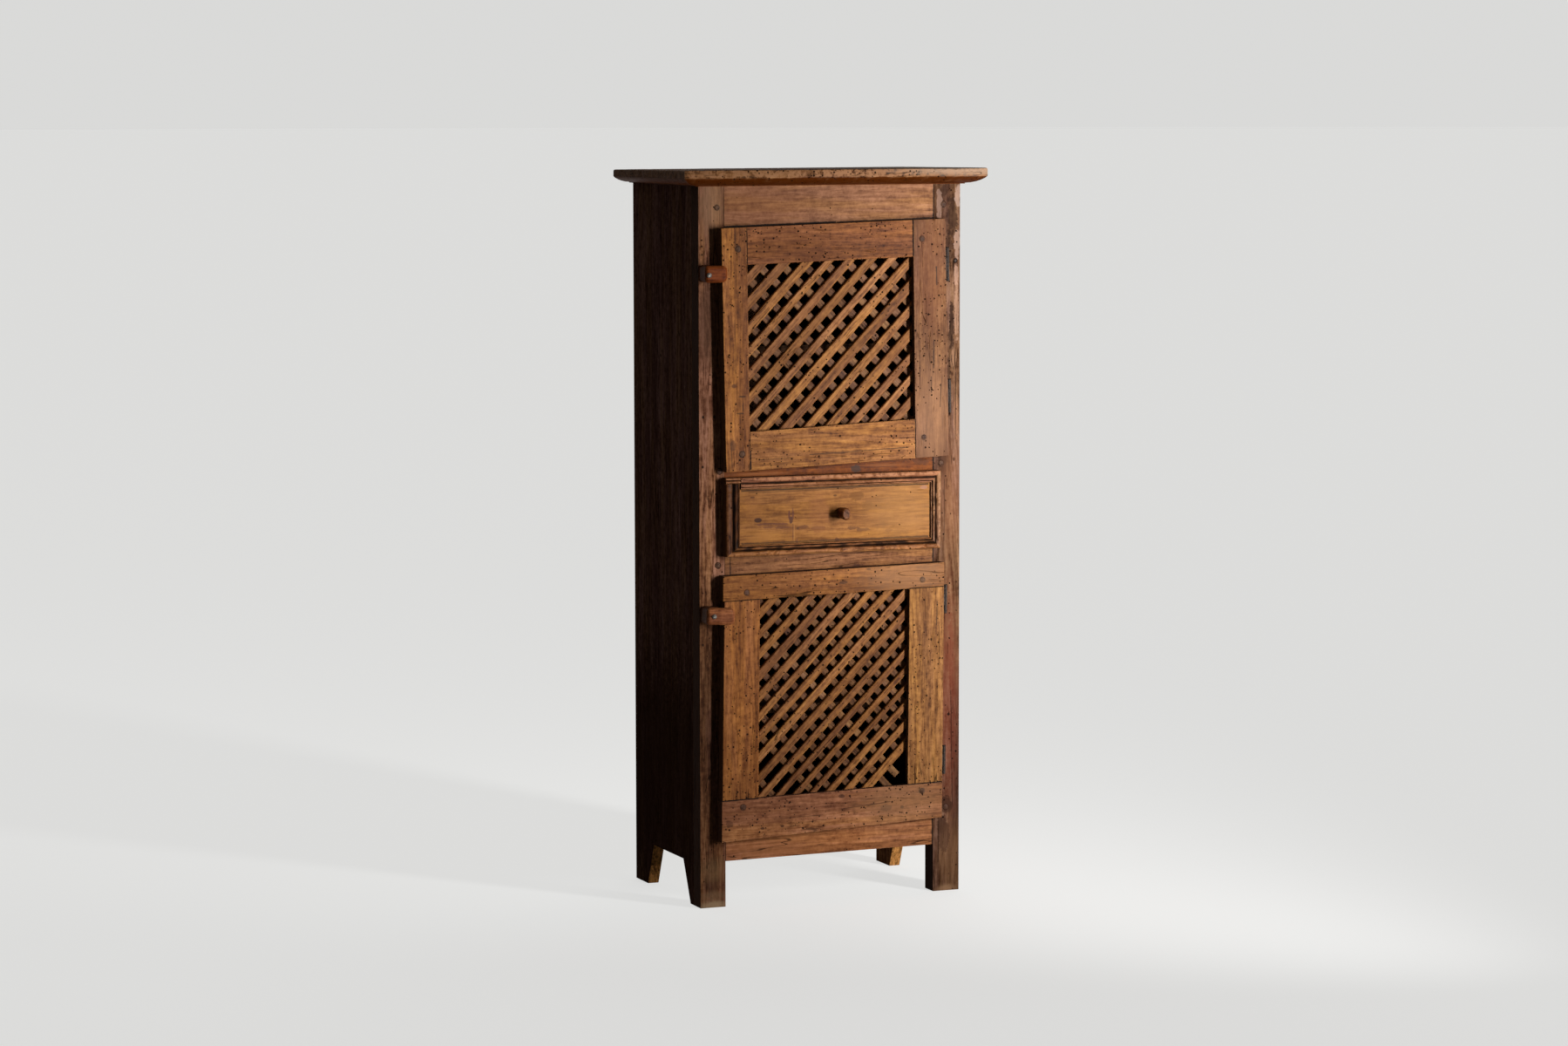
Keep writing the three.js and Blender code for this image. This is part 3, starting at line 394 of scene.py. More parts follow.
# Stains, cracks, rubbed places and broad changes of tone, for the pieces whose names start as given
spots_by_start = {
    "post_front_right": [
        (558, 1400, 12, 44, stain_dark, 0.6, 2.6), (538, 1452, 10, 12, stain_dark, 0.5, 2.2),
        (569, 1440, 6, 26, (180, 148, 130), 0.6, 2.6), (528, 1425, 6, 32, (166, 132, 114), 0.45, 2.6),
        (549, 1335, 9, 30, stain_dark, 0.55, 2.4), (568, 1345, 7, 30, (176, 142, 122), 0.55, 2.4),
        (564, 1309, 5.2, 5.6, gap_and_shadow_dark, 0.85, 0.6), (556, 1170, 6, 50, stain_dark, 0.8, 2.8),
        (550, 1050, 5, 60, stain_dark, 0.65, 3), (567, 1205, 5, 60, (176, 136, 110), 0.5, 2.4),
        (545, 1240, 5, 30, (160, 120, 92), 0.35, 2.4), (560, 1110, 7, 22, (160, 120, 92), 0.35, 2.2),
        (566, 985, 5, 50, (170, 122, 90), 0.4, 2.4), (566, 1280, 5, 22, (180, 142, 120), 0.55, 2),
        (562, 900, 3, 4, gap_and_shadow_dark, 0.9, 0.4), (536, 910, 14, 26, stain_dark, 0.5, 1.6),
        (556, 500, 6, 80, (96, 44, 30), 0.3, 2.4), (552, 400, 24, 260, (120, 60, 42), 0.5, 0.6),
        (560, 330, 6, 90, (86, 40, 28), 0.4, 2.2), (540, 1290, 4, 5, gap_and_shadow_dark, 0.8, 0.6),
        (545, 180, 15, 18, stain_dark, 0.6, 1.6), (537, 140, 12, 20, stain_dark, 0.45, 1.8),
        (551, 370, 3, 3, gap_and_shadow_dark, 0.9, 0.4), (545, 4, 24, 10, (160, 122, 90), 0.6, 1.4),
        (552, 90, 26, 70, (132, 94, 66), 0.4, 2), (540, 120, 14, 40, (66, 42, 32), 0.5, 2.4),
        (556, 820, 26, 130, (140, 92, 64), 0.35, 1),
    ],
    "post_front_left": [
        (33, 1003, 2.4, 3.2, gap_and_shadow_dark, 0.9, 0.4), (9, 1003, 2.6, 3.4, gap_and_shadow_dark, 0.9, 0.4),
        (8, 902, 2.4, 3, gap_and_shadow_dark, 0.9, 0.4), (8, 1330, 2, 2.6, gap_and_shadow_dark, 0.8, 0.4),
        (7, 540, 2.4, 3, gap_and_shadow_dark, 0.9, 0.4), (26, 60, 14, 40, stain_dark, 0.3, 1.8),
        (28, 4, 32, 12, (176, 146, 112), 0.8, 1.2), (28, 76, 32, 30, (136, 102, 70), 0.5, 1.4),
        (28, 44, 32, 14, (74, 48, 36), 0.45, 1.6), (20, 380, 30, 290, (38, 22, 14), 0.6, 0.8),
        (20, 1200, 30, 110, (66, 44, 32), 0.6, 0.8), (28, 24, 32, 12, (140, 108, 80), 0.45, 1.4),
        (28, 1430, 30, 70, (150, 114, 86), 0.5, 1),
    ],
    "rail_above_drawer": [
        (343, 888, 11, 8, (58, 40, 30), 0.85, 1.5), (130, 884, 70, 4, (150, 90, 46), 0.5, 2.2),
        (240, 892, 50, 3, (70, 36, 18), 0.6, 2.6), (440, 903, 60, 4, (84, 46, 24), 0.6, 2.4),
        (410, 893, 50, 4, (140, 84, 42), 0.4, 2.2), (490, 896, 20, 6, (70, 40, 22), 0.5, 2.2),
    ],
    "rail_below_drawer": [(67, 690, 1.1, 40, gap_and_shadow_dark, 0.9, 0.2)],
    "lower_door_rail_top": [
        (306, 658, 9, 4, (60, 36, 24), 0.7, 1.4), (361, 683, 5, 2.4, gap_and_shadow_dark, 0.7, 0.8),
        (120, 660, 130, 50, (104, 58, 24), 0.4, 0.8), (450, 672, 120, 50, (158, 114, 78), 0.45, 0.8),
    ],
    "lower_door_rail_bottom": [
        (54, 174, 8, 8, (70, 40, 28), 0.6, 1.6), (400, 186, 14, 7, (70, 44, 30), 0.7, 1.6),
        (300, 217, 7, 4, (60, 34, 24), 0.7, 1.5), (126, 161, 4, 3, gap_and_shadow_dark, 0.8, 0.8),
        (170, 163, 4, 3, gap_and_shadow_dark, 0.8, 0.8), (436, 186, 4, 3, gap_and_shadow_dark, 0.8, 0.8),
        (120, 180, 110, 60, (120, 72, 44), 0.25, 0.8), (440, 195, 110, 60, (160, 116, 80), 0.35, 0.8),
    ],
    "rail_bottom": [
        (235, 151, 4, 2.6, gap_and_shadow_dark, 0.8, 0.8), (424, 166, 5, 3, gap_and_shadow_dark, 0.7, 0.8),
        (150, 130, 110, 60, (178, 116, 70), 0.4, 0.8), (450, 140, 100, 60, (130, 86, 58), 0.35, 0.8),
    ],
    "drawer_front": [
        (121, 791.5, 8.5, 5, knot_dark, 0.95, 0.4), (124, 782, 6, 2.4, (96, 54, 36), 0.7, 1.6),
        (142, 783, 17, 2.4, (88, 50, 34), 0.7, 2.2), (172, 782, 19, 2.2, (92, 52, 36), 0.7, 2.2),
        (142, 776, 17, 2.1, (92, 52, 36), 0.65, 2.2), (176, 775, 20, 2.3, (90, 52, 36), 0.65, 2.2),
        (222, 774, 16, 3.2, (94, 56, 34), 0.65, 2.4), (252, 771.5, 18, 3.2, (100, 60, 36), 0.6, 2.4),
        (330, 768, 14, 3.4, (92, 56, 32), 0.7, 2.6), (352, 764, 17, 3.6, (96, 60, 34), 0.65, 2.6),
        (189, 800, 2.6, 11, (84, 46, 36), 0.8, 1.6), (197, 802, 2.6, 12, (88, 50, 38), 0.75, 1.6),
        (193, 789, 4.5, 8, (70, 40, 32), 0.85, 1.2), (200, 762, 1.4, 24, (180, 128, 72), 0.3, 1.4),
        (197.4, 764, 1.2, 20, (92, 54, 38), 0.6, 1.6), (206, 744, 2.4, 8, (104, 62, 40), 0.6, 1.6),
        (338, 834, 18, 11, (108, 66, 26), 0.7, 2), (361, 813, 14, 11, (112, 70, 30), 0.6, 2),
        (109, 838.5, 5, 2, knot_dark, 0.7, 1.2), (290, 836, 4, 2, knot_dark, 0.6, 1.2),
        (294, 745, 5, 6, (84, 46, 24), 0.75, 1.4), (208, 772, 3.4, 3, (72, 42, 26), 0.75, 1.2),
        (410, 760, 9, 4, (112, 68, 34), 0.6, 1.8), (487, 846, 8, 4, (150, 108, 96), 0.6, 1.4),
        (132, 757, 40, 12, (162, 108, 54), 0.4, 1.4), (110, 815, 24, 26, (120, 72, 38), 0.35, 1.4),
        (255, 800, 22, 40, (140, 86, 48), 0.3, 1.6), (440, 838, 17, 5, (124, 78, 36), 0.5, 2.4),
        (440, 800, 90, 70, (164, 116, 66), 0.4, 0.8),
    ],
    "upper_door_stile_free": [
        (66, 1066, 5, 5, (70, 40, 26), 0.7, 1.4), (84, 1044, 9, 2, gap_and_shadow_dark, 0.7, 0.8),
        (86, 1022, 2, 12, gap_and_shadow_dark, 0.5, 1), (80, 1010, 9, 2, gap_and_shadow_dark, 0.6, 1),
        (64, 945, 6, 12, (70, 42, 26), 0.5, 1.6), (70, 1360, 2, 14, gap_and_shadow_dark, 0.4, 1),
    ],
    "rail_top": [(120, 1420, 130, 60, (118, 68, 38), 0.4, 0.6)],
    "upper_door_stile_hinge": [
        (500, 1300, 40, 150, (124, 70, 38), 0.35, 0.8), (500, 980, 40, 130, (164, 118, 86), 0.35, 0.8),
    ],
    "top_board": [
        (590, 1496, 190, 12, (180, 152, 128), 0.55, 1.2), (60, 1496, 230, 12, (124, 84, 50), 0.4, 1.2),
    ],
    "side_left": [(0, 240, 100, 330, (50, 30, 20), 0.75, 0.8)],
}
# Dark joint lines, cracks and painted shadow lines, for the pieces whose names start as given
lines_by_start = {
    "upper_door_": [
        (95.7, 1311, 95.2, 1384, 1.22, 0.9), (102.2, 895, 101.6, 935, 1.76, 1),
        (101.6, 935, 101, 972, 0.94, 0.65), (459.8, 1321, 458.7, 1396, 1.76, 1),
        (465.4, 908, 464.4, 988, 1.22, 0.85),
    ],
    "upper_door_stile_hinge": [
        (505, 1090, 506, 1150, 1.22, 0.75), (512, 1260, 511, 1300, 1.49, 0.75),
        (520, 1010, 522, 1060, 1.22, 0.65), (500, 1040, 500, 1075, 1.08, 0.65),
    ],
    "upper_door_rail_bottom": [(230, 922, 450, 930, 1.08, 0.65), (120, 915, 190, 917, 0.94, 0.55)],
    "upper_door_stile_free": [(62, 900, 60, 960, 1.08, 0.55), (70, 1090, 68, 1200, 0.81, 0.45)],
    "lower_door_": [
        (42, 629.6, 122, 631.5, 1.22, 0.85), (452, 638.6, 529, 640.4, 1.22, 0.85),
        (37, 221.8, 118, 223.8, 1.62, 0.95), (448, 231.8, 526, 233.7, 1.49, 0.95),
    ],
    "lower_door_rail_bottom": [(300, 190, 410, 199, 0.94, 0.6), (150, 178, 260, 181, 0.81, 0.45)],
    "lower_door_stile_hinge": [(513, 560, 514, 610, 1.22, 0.65), (519, 480, 518, 560, 0.94, 0.55)],
    "lower_door_stile_free": [(70, 545, 69, 600, 0.94, 0.55), (60, 300, 61, 380, 0.81, 0.45)],
    "rail_top": [
        # The first two lines are a painted shadow of the upper door's top edge, wider at the left
        (47, 1384.5, 300, 1391.5, 2.4, 0.97), (300, 1391.5, 528, 1398, 1.4, 0.9),
        (55, 1365, 55, 1467, 1.22, 0.75), (516, 1365, 516, 1467, 2.16, 1),
    ],
    "rail_above_drawer": [(516, 870, 516, 925, 2.43, 1)],
    "rail_below_drawer": [(516, 655, 516, 728, 2.43, 1), (55, 655, 55, 728, 1.08, 0.65)],
    "rail_bottom": [(516, 94, 516, 175, 2.97, 1), (55, 94, 55, 175, 1.22, 0.75)],
    "post_front_right": [
        (560, 180, 556, 420, 1.08, 0.6), (540, 730, 541, 860, 0.94, 0.55),
        (565, 940, 566, 1080, 1.22, 0.65), (552, 990, 552, 1060, 1.35, 0.75),
        (528, 60, 529, 160, 1.08, 0.65),
    ],
    "post_front_left": [(46, 1180, 46, 1420, 0.68, 0.45), (18, 30, 19, 150, 0.81, 0.45)],
    "drawer_front": [
        (100, 848, 330, 849, 0.81, 0.55), (84, 852.5, 498, 852.5, 2.16, 0.75),
        (84, 744.5, 498, 744.5, 1.89, 0.65),
    ],
}
# Woods of the pieces that show, then of the others
button_wood = dict(contrast=0.3, rings=0.3, holes=0, shine=0.04, rough=0.42)
worn_pieces = {
    "post_front_left": dict(
        tone=(113, 76, 53), contrast=0.35, rings=0.5, fibre=1, holes=0.12, dashes=0.35, stain=0.4,
        shine=0.02,
    ),
    "post_front_right": dict(
        tone=(91, 64, 47), contrast=0.6, rings=0.5, holes=0.25, stain=0.6, wear=0.7, shine=0.02,
    ),
    "rail_top": dict(
        tone=(136, 93, 60), contrast=0.18, fibre=0.5, holes=0.05, stain=0.1, dashes=0.1, crack=0.2,
    ),
    "rail_above_drawer": dict(tone=(108, 56, 13), contrast=0.35, rings=0.4, holes=0.1),
    "rail_below_drawer": dict(tone=(112, 72, 40), contrast=0.4, rings=0.5, holes=0.1),
    "rail_bottom": dict(tone=(156, 101, 64), contrast=0.4, rings=0.6, holes=0.1),
    "upper_door_stile_free": dict(tone=(132, 83, 39), holes=1.08),
    "upper_door_stile_hinge": dict(tone=(101, 67, 43), rings=0.4, holes=1.15, stain=0.55),
    "upper_door_rail_top": dict(tone=(115, 69, 35), contrast=0.4, rings=0.3, holes=1.35),
    "upper_door_rail_bottom": dict(tone=(147, 98, 50), contrast=0.42, rings=0.3, holes=1.76, stain=0.45),
    "lower_door_stile_free": dict(tone=(127, 78, 38), contrast=0.42, holes=1.49, stain=0.4),
    "lower_door_stile_hinge": dict(tone=(129, 87, 45), contrast=0.42, holes=1.35, stain=0.4),
    "lower_door_rail_top": dict(tone=(119, 74, 34), contrast=0.45, rings=0.3, holes=0.81, stain=0.4),
    "lower_door_rail_bottom": dict(tone=(144, 95, 61), contrast=0.45, rings=0.3, holes=1.35, stain=0.6),
    "drawer_front": dict(
        tone=(129, 84, 38), contrast=0.22, fibre=0.5, holes=0.04, stain=0.25, mottle=1.2, dashes=0.25,
        crack=0, shine=0.06, rough=0.5,
    ),
    "top_board": dict(
        tone=(118, 81, 55), contrast=0.6, rings=0.3, holes=1, wear=1, shine=0.02, rough=0.5, mottle=5,
        fibre=1.2,
    ),
    "drawer_knob": dict(
        tone=(90, 52, 25), axis="Y", contrast=0.7, rings=0.6, holes=0.1, wear=1, rough=0.42,
    ),
    "upper_latch": dict(button_wood, tone=(104, 50, 18), wear=0.9),
    "lower_latch": dict(button_wood, tone=(124, 74, 42), wear=0.8),
}
side_tones = {"left": (106, 76, 63), "right": (116, 76, 46)}
# Side boards show paler wood on faces that look to the front, which is also painted light
side_wood = dict(contrast=0.4, rings=0.5, holes=0.15, wear=0.2, rough=0.7, shine=0, raw_side=-1)
drawer_wood = dict(tone=(128, 92, 62), contrast=0.35, rings=0.6, holes=0.1, wear=0.3, rough=0.7)
inside_wood = dict(tone=(64, 44, 30), contrast=0.45, rings=0.5, holes=0.15, wear=0.2, rough=0.75, shine=0.05)
BACK_TONE = (132, 98, 68)
back_shares = {"back_board_1": 0.9, "back_board_2": 1.08, "back_board_3": 0.98}


def kind_of(name):
    """The settings of the wood of a carried-over node."""
    upright = name.startswith(("post_", "side_", "back_board_")) or "_stile_" in name
    settings = dict(axis="Z" if upright else "Y" if name.startswith("drawer_side_") else "X")
    if name in worn_pieces:
        settings.update(worn_pieces[name])
    elif name.startswith("side_"):
        settings.update(side_wood, tone=side_tones[name.split("_")[1]])
    else:
        settings.update(drawer_wood if name.startswith("drawer_") else inside_wood)
    if name in back_shares:
        settings.update(raw_side=1, raw_tone=[channel * back_shares[name] for channel in BACK_TONE])
    return settings


iron = metal("old_iron", (26, 19, 15), (66, 50, 40), 0.6, 0.5)
steel = metal("nail_steel", (64, 60, 56), (128, 122, 114), 0.5, 0.85)
BEVEL_WIDTH = 0.9
SMALL_BEVEL_WIDTH = 0.3
SHARP_ANGLE = 28
FLAT_ANGLE = 1.5
WELD_DISTANCE = 0.002
BACK_SEAM_WIDTH = 1.6
# How far posts, doors and the drawer front are darkened by painted shade on faces that look left or up
LEFT_SIDE_SHADE = 0.9


def marks_of(name, table):
    """The marks in a table whose start fits a piece's name."""
    return [mark for start, group in table.items() if name.startswith(start) for mark in group]


def dress(name):
    """Finishes a carried-over node: softened edges and its own material."""
    piece = nodes[name]
    small = any(word in name for word in ("hinge_top_", "hinge_bottom_", "nail"))
    weld = piece.modifiers.new("weld", "WELD")
    weld.merge_threshold = WELD_DISTANCE * MM
    flat = piece.modifiers.new("flat", "DECIMATE")
    flat.decimate_type = "DISSOLVE"
    flat.angle_limit = math.radians(FLAT_ANGLE)
    bevel = piece.modifiers.new("soft_edges", "BEVEL")
    bevel.width = (SMALL_BEVEL_WIDTH if small else BEVEL_WIDTH) * MM
    bevel.segments = 2
    bevel.limit_method = "ANGLE"
    bevel.angle_limit = math.radians(SHARP_ANGLE)
    bevel.use_clamp_overlap = small
    if name.endswith("_latch_nail"):
        material = steel
    elif small:
        material = iron
    else:
        settings = kind_of(name)
        # Posts, doors and the drawer front get painted shade on their faces that look left or up
        if name.startswith(("post_", "upper_door_", "lower_door_", "drawer_front")):
            settings["left_dirt"] = LEFT_SIDE_SHADE
        spots = [(x, z, PEG_RING, PEG_RING, gap_and_shadow_dark, 0.9, 0.5) for x, z in peg_spots.get(name, [])]
        spots += marks_of(name, spots_by_start)
        lines = marks_of(name, lines_by_start)
        if name in back_shares:
            (x0, _, z0), (x1, _, z1) = (Vector(corner) / MM + CASE_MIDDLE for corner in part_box(name))
            lines += [(x, z0, x, z1, BACK_SEAM_WIDTH, 0.95) for x in (x0, x1)]
        material = wood(name + "_wood", spots=spots, lines=lines, **settings)
    piece.data.materials.clear()
    piece.data.materials.append(material)


for node_name in nodes:
    dress(node_name)


def held(value):
    """A value kept between 0 and 1."""
    return min(1, max(0, value))


def placed(name, data):
    """A new object in the scene."""
    made = bpy.data.objects.new(name, data)
    bpy.context.scene.collection.objects.link(made)
    return made


def skin(count, size, first=0, ways=(1, 1)):
    """Faces over a count of rings of one size, and over the end rings, each taken its way round."""
    faces = []
    for ring in range(count - 1):
        for corner in range(size):
            a, b = (first + ring * size + place for place in (corner, (corner + 1) % size))
            faces.append((a, b, b + size, a + size))
    for end, way in zip((first, first + (count - 1) * size), ways):
        faces.append(tuple(range(end, end + size)[::way]))
    return faces


def new_piece(name, points, faces, body, material, slot, smooth=False, **values):
    """A new piece from points in metres and faces, riding on a body, with named values at its points."""
    mesh = bpy.data.meshes.new(name)
    mesh.from_pydata(points, [], faces)
    mesh.validate()
    mesh.materials.append(material)
    for key, numbers in values.items():
        kind, field = ("FLOAT_VECTOR", "vector") if len(numbers) > len(points) else ("FLOAT", "value")
        mesh.attributes.new(key, kind, "POINT").data.foreach_set(field, numbers)
    work = bmesh.new()
    work.from_mesh(mesh)
    bmesh.ops.recalc_face_normals(work, faces=work.faces[:])
    work.to_mesh(mesh)
    work.free()
    for face in mesh.polygons:
        face.use_smooth = smooth
    piece = placed(name, mesh)
    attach(piece, body)
    return piece


# Lattices: every lath is a piece of wood of its own, a little uneven along its edges
LATH_FRONT, LATH_SEAM, LATH_BACK = -13, -5, -1.6
# Front and back level and tone of each layer. The back layer's tone is darkened as painted shade, for the
# shadow that the front laths cast on the back ones
lath_layers = {"front": (LATH_FRONT, LATH_SEAM, (122, 79, 41)), "back": (LATH_SEAM, LATH_BACK, (96, 65, 40))}
LATH_STEP = 7
LATH_EDGE = 1.1
LATH_UNEVEN = 0.45
LATH_BOW = 0.5
LATH_WAVE = 0.045
LATH_TRIM = 0.5
LATH_SHORTEST = 1
# Steps from one lath to the next in the wood's pattern
lath_shifts = (7.31, 3.17, 1.93)
LATH_SPREAD = 61
# Laths are counted across the panel from its lower left corner, and shifts are shares of their spacing. Those
# between two offsets are lost, or broken off where they meet a third offset of the front layer.
lattice_specs = {
    "upper": dict(
        panel=[(90.91, 962.16), (474.23, 978.41), (469.25, 1329.79), (85.91, 1318.54)],
        front=dict(
            angle=46, width=16.92, gap=16.6, first=-208.5, lost=[], broken=[],
            shifts=[0.06, -0.02, -0.08, -0.02, -0.03, 0.04, 0.07, 0.01, 0, 0, -0.07, -0.03, 0.04],
        ),
        back=dict(
            angle=-44, width=16, gap=17.59, first=73.9, lost=[], broken=[],
            shifts=[0.05, 0, 0.02, -0.02, -0.02, -0.08, -0.04, 0.02, 0, 0.01, 0.04, 0.01],
        ),
    ),
    "lower": dict(
        panel=[(107.73, 213.96), (457.8, 222.21), (461.81, 648.3), (112.37, 641.14)],
        front=dict(
            angle=45, width=14.42, gap=14.2, first=-159.7, lost=[(-400, -185)], broken=[],
            shifts=[
                0.18, 0.16, 0.12, -0.03, -0.12, -0.18, -0.19, -0.13, -0.07, -0.03, -0.05, 0, 0.11, 0.15, 0.12,
            ],
        ),
        back=dict(
            angle=-46.5, width=14.4, gap=14.17, first=58.86, lost=[(-60, 38), (80, 95)],
            broken=[(245, 275, -204), (275, 1000, -174)],
            shifts=[
                -0.52, 0, -0.28, -0.19, -0.01, -0.02, 0.02, 0.06, 0.36, 0.28, 0.25, 0.09, 0.03, -0.06, -0.18,
                -0.34,
            ],
        ),
    ),
}


def clip(panel, point, direction):
    """Where a line starts and ends inside a panel, along its direction, or None."""
    low, high = -math.inf, math.inf
    for (x0, z0), (x1, z1) in zip(panel, panel[1:] + panel[:1]):
        inward = (z0 - z1, x1 - x0)
        depth = (point[0] - x0) * inward[0] + (point[1] - z0) * inward[1]
        slope = direction[0] * inward[0] + direction[1] * inward[1]
        if slope > 0:
            low = max(low, -depth / slope)
        else:
            high = min(high, -depth / slope)
    return (low, high) if low < high else None


def lath(panel, turn, low, high, front, back, seed, breaks, first):
    """Points, wood places and faces of one lath that runs at a turn across a panel between two offsets."""
    direction = (math.cos(turn), math.sin(turn))
    normal = (-math.sin(turn), math.cos(turn))
    origin = panel[0]

    def reach(offset):
        start = (origin[0] + normal[0] * offset, origin[1] + normal[1] * offset)
        return clip(panel, start, direction)

    spans = [reach(low), reach(high)]
    if spans == [None, None]:
        return None
    while spans[0] is None:
        low += LATH_TRIM
        spans[0] = reach(low)
    while spans[1] is None:
        high -= LATH_TRIM
        spans[1] = reach(high)
    for end, lean in breaks:
        runs = [(end - offset * math.cos(lean)) / math.sin(lean) for offset in (low, high)]
        spans = [(start, min(stop, run)) for (start, stop), run in zip(spans, runs)]
    length = max(span[1] - span[0] for span in spans)
    if length < LATH_SHORTEST:
        return None
    count = max(2, round(length / LATH_STEP))
    shift = Vector([seed * part for part in lath_shifts])
    points, places = [], []
    for step in range(count + 1):
        share = step / count
        run_low, run_high = (span[0] + (span[1] - span[0]) * share for span in spans)
        wave = Vector((run_low * LATH_WAVE, 0, 0))
        fray = [LATH_UNEVEN * noise.noise(wave * 3 + shift + Vector((0, 5 * side, 0))) for side in range(3)]
        bow = LATH_BOW * noise.noise(wave * 0.35 + shift)
        lower, upper = low + fray[0] + bow, high + fray[1] + bow
        section = [
            (run_low, lower, back), (run_low, lower, front + LATH_EDGE), (run_low, lower + LATH_EDGE, front),
            ((run_low + run_high) / 2, (low + high) / 2 + bow, front), (run_high, upper - LATH_EDGE, front),
            (run_high, upper, front + LATH_EDGE), (run_high, upper, back),
        ]
        for run, offset, depth in section:
            sink = 0 if depth == back else abs(fray[2]) * 0.7
            x = origin[0] + normal[0] * offset + direction[0] * run
            z = origin[1] + normal[1] * offset + direction[1] * run
            points.append(at(x, depth + sink, z))
            places.append(Vector((run, offset + seed * LATH_SPREAD, depth)) * MM + shift)
    return points, places, skin(count + 1, len(section), first, (1, -1))


def lath_panel(door, layer):
    """All laths of one layer of a door's lattice, as one piece."""
    panel, spec = lattice_specs[door]["panel"], lattice_specs[door][layer]
    turn = math.radians(spec["angle"])
    lean = turn - math.radians(lattice_specs[door]["front"]["angle"])
    offsets = [-(x - panel[0][0]) * math.sin(turn) + (z - panel[0][1]) * math.cos(turn) for x, z in panel]
    front, back, layer_tone_and_shade = lath_layers[layer]
    first, shifts = spec["first"], spec["shifts"]
    spacing = spec["width"] + spec["gap"]
    lowest, highest = ((offset - first) / spacing for offset in (min(offsets), max(offsets)))

    def middle(count):
        return first + (count + shifts[count % len(shifts)]) * spacing

    points, faces, places, tones = [], [], [], []
    tone_maker = random.Random(door + layer)
    for count in range(math.floor(lowest) - 1, math.ceil(highest) + 2):
        tone = tone_maker.uniform(0.78, 1.25)
        if layer == "front":
            low, high = middle(count) + spec["gap"] / 2, middle(count + 1) - spec["gap"] / 2
        else:
            low, high = middle(count) - spec["width"] / 2, middle(count) + spec["width"] / 2
        centre = (low + high) / 2
        if any(start <= centre < stop for start, stop in spec["lost"]):
            continue
        breaks = [(end, lean) for start, stop, end in spec["broken"] if start <= centre < stop]
        found = lath(panel, turn, low, high, front, back, count + 3, breaks, len(points))
        if found:
            points += found[0]
            places += found[1]
            faces += found[2]
            tones += [tone] * len(found[0])
    material = wood(f"{door}_{layer}_lath_wood", layer_tone_and_shade, contrast=0.35, rings=0.3, holes=0.7, stain=0.25,
                    wear=0.35, by_lath=True)
    along = [value for place in places for value in place]
    return new_piece(f"{door}_door_{layer}_laths", points, faces, door + "_door", material, "lath_wood",
                     along_lath=along, lath_tone=tones)


for door_name in ("upper", "lower"):
    for layer_name in ("front", "back"):
        panel_piece = lath_panel(door_name, layer_name)
        if layer_name == "front":
            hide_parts(door_name + "_door_lattice")


# Drawer mouldings: (share across from the outer edge, height share, relief) along each strip. Low relief
# darkens the hollows as grime and painted shade, and high relief makes the crests pale as wear and painted
# highlight
MOULDING_THICKNESS = 7
MOULDING_STEP = 5
MOULDING_SEAT = 0.3
HOLLOW_FROM, HOLLOW_TO = 0.45, 0.87
moulding_shares = [
    (0, 0, 0.5), (0, 0.7, 0.6), (0.05, 0.9, 0.9), (0.14, 1, 1), (0.27, 0.98, 0.8), (0.37, 0.88, 0.6),
    (0.44, 0.55, 0.3), (0.5, 0.28, 0), (0.54, 0.34, 0.1), (0.59, 0.7, 0.4), (0.66, 0.95, 0.7),
    (0.73, 1, 0.75), (0.79, 0.9, 0.55), (0.83, 0.55, 0.2), (0.86, 0.42, 0.05), (0.89, 0.62, 0.6),
    (0.93, 0.66, 0.95), (0.965, 0.45, 0.4), (1, 0.22, 0), (1, 0, 0),
]
block_shares = [
    (0, 0, 0.5), (0, 0.75, 0.6), (0.1, 0.95, 1), (0.3, 1, 0.9), (0.42, 0.7, 0.2), (0.5, 0.5, 0),
    (0.58, 0.7, 0.3), (0.7, 0.95, 0.9), (0.9, 0.9, 0.7), (1, 0.6, 0.2), (1, 0, 0.1),
]
# Each strip: outer line from and to, inner line from and to, all as (x, z), how far its outer edge is worn,
# how dark its second hollow is made as painted shade, and its tone
moulding_strips = {
    "left": ((50, 719), (50, 867), (81, 742), (81, 867), 1, 0.55, (78, 46, 25)),
    "right": ((523.5, 719), (523.5, 879.5), (500.5, 742), (500.5, 855.5), 1.6, 0.35, (121, 86, 61)),
    "top": ((82.5, 879.5), (523.5, 879.5), (82.5, 855.5), (500.5, 855.5), 0.5, 0, (126, 82, 55)),
    "bottom": ((50, 719), (523.5, 719), (81, 742), (500.5, 742), 3.2, 0.6, (117, 74, 42)),
    "block": ((50, 879.5), (81, 879.5), (50, 868), (81, 868), 0.4, 0, (118, 76, 48)),
}


def along_line(start, stop, share):
    return tuple(a + (b - a) * share for a, b in zip(start, stop))


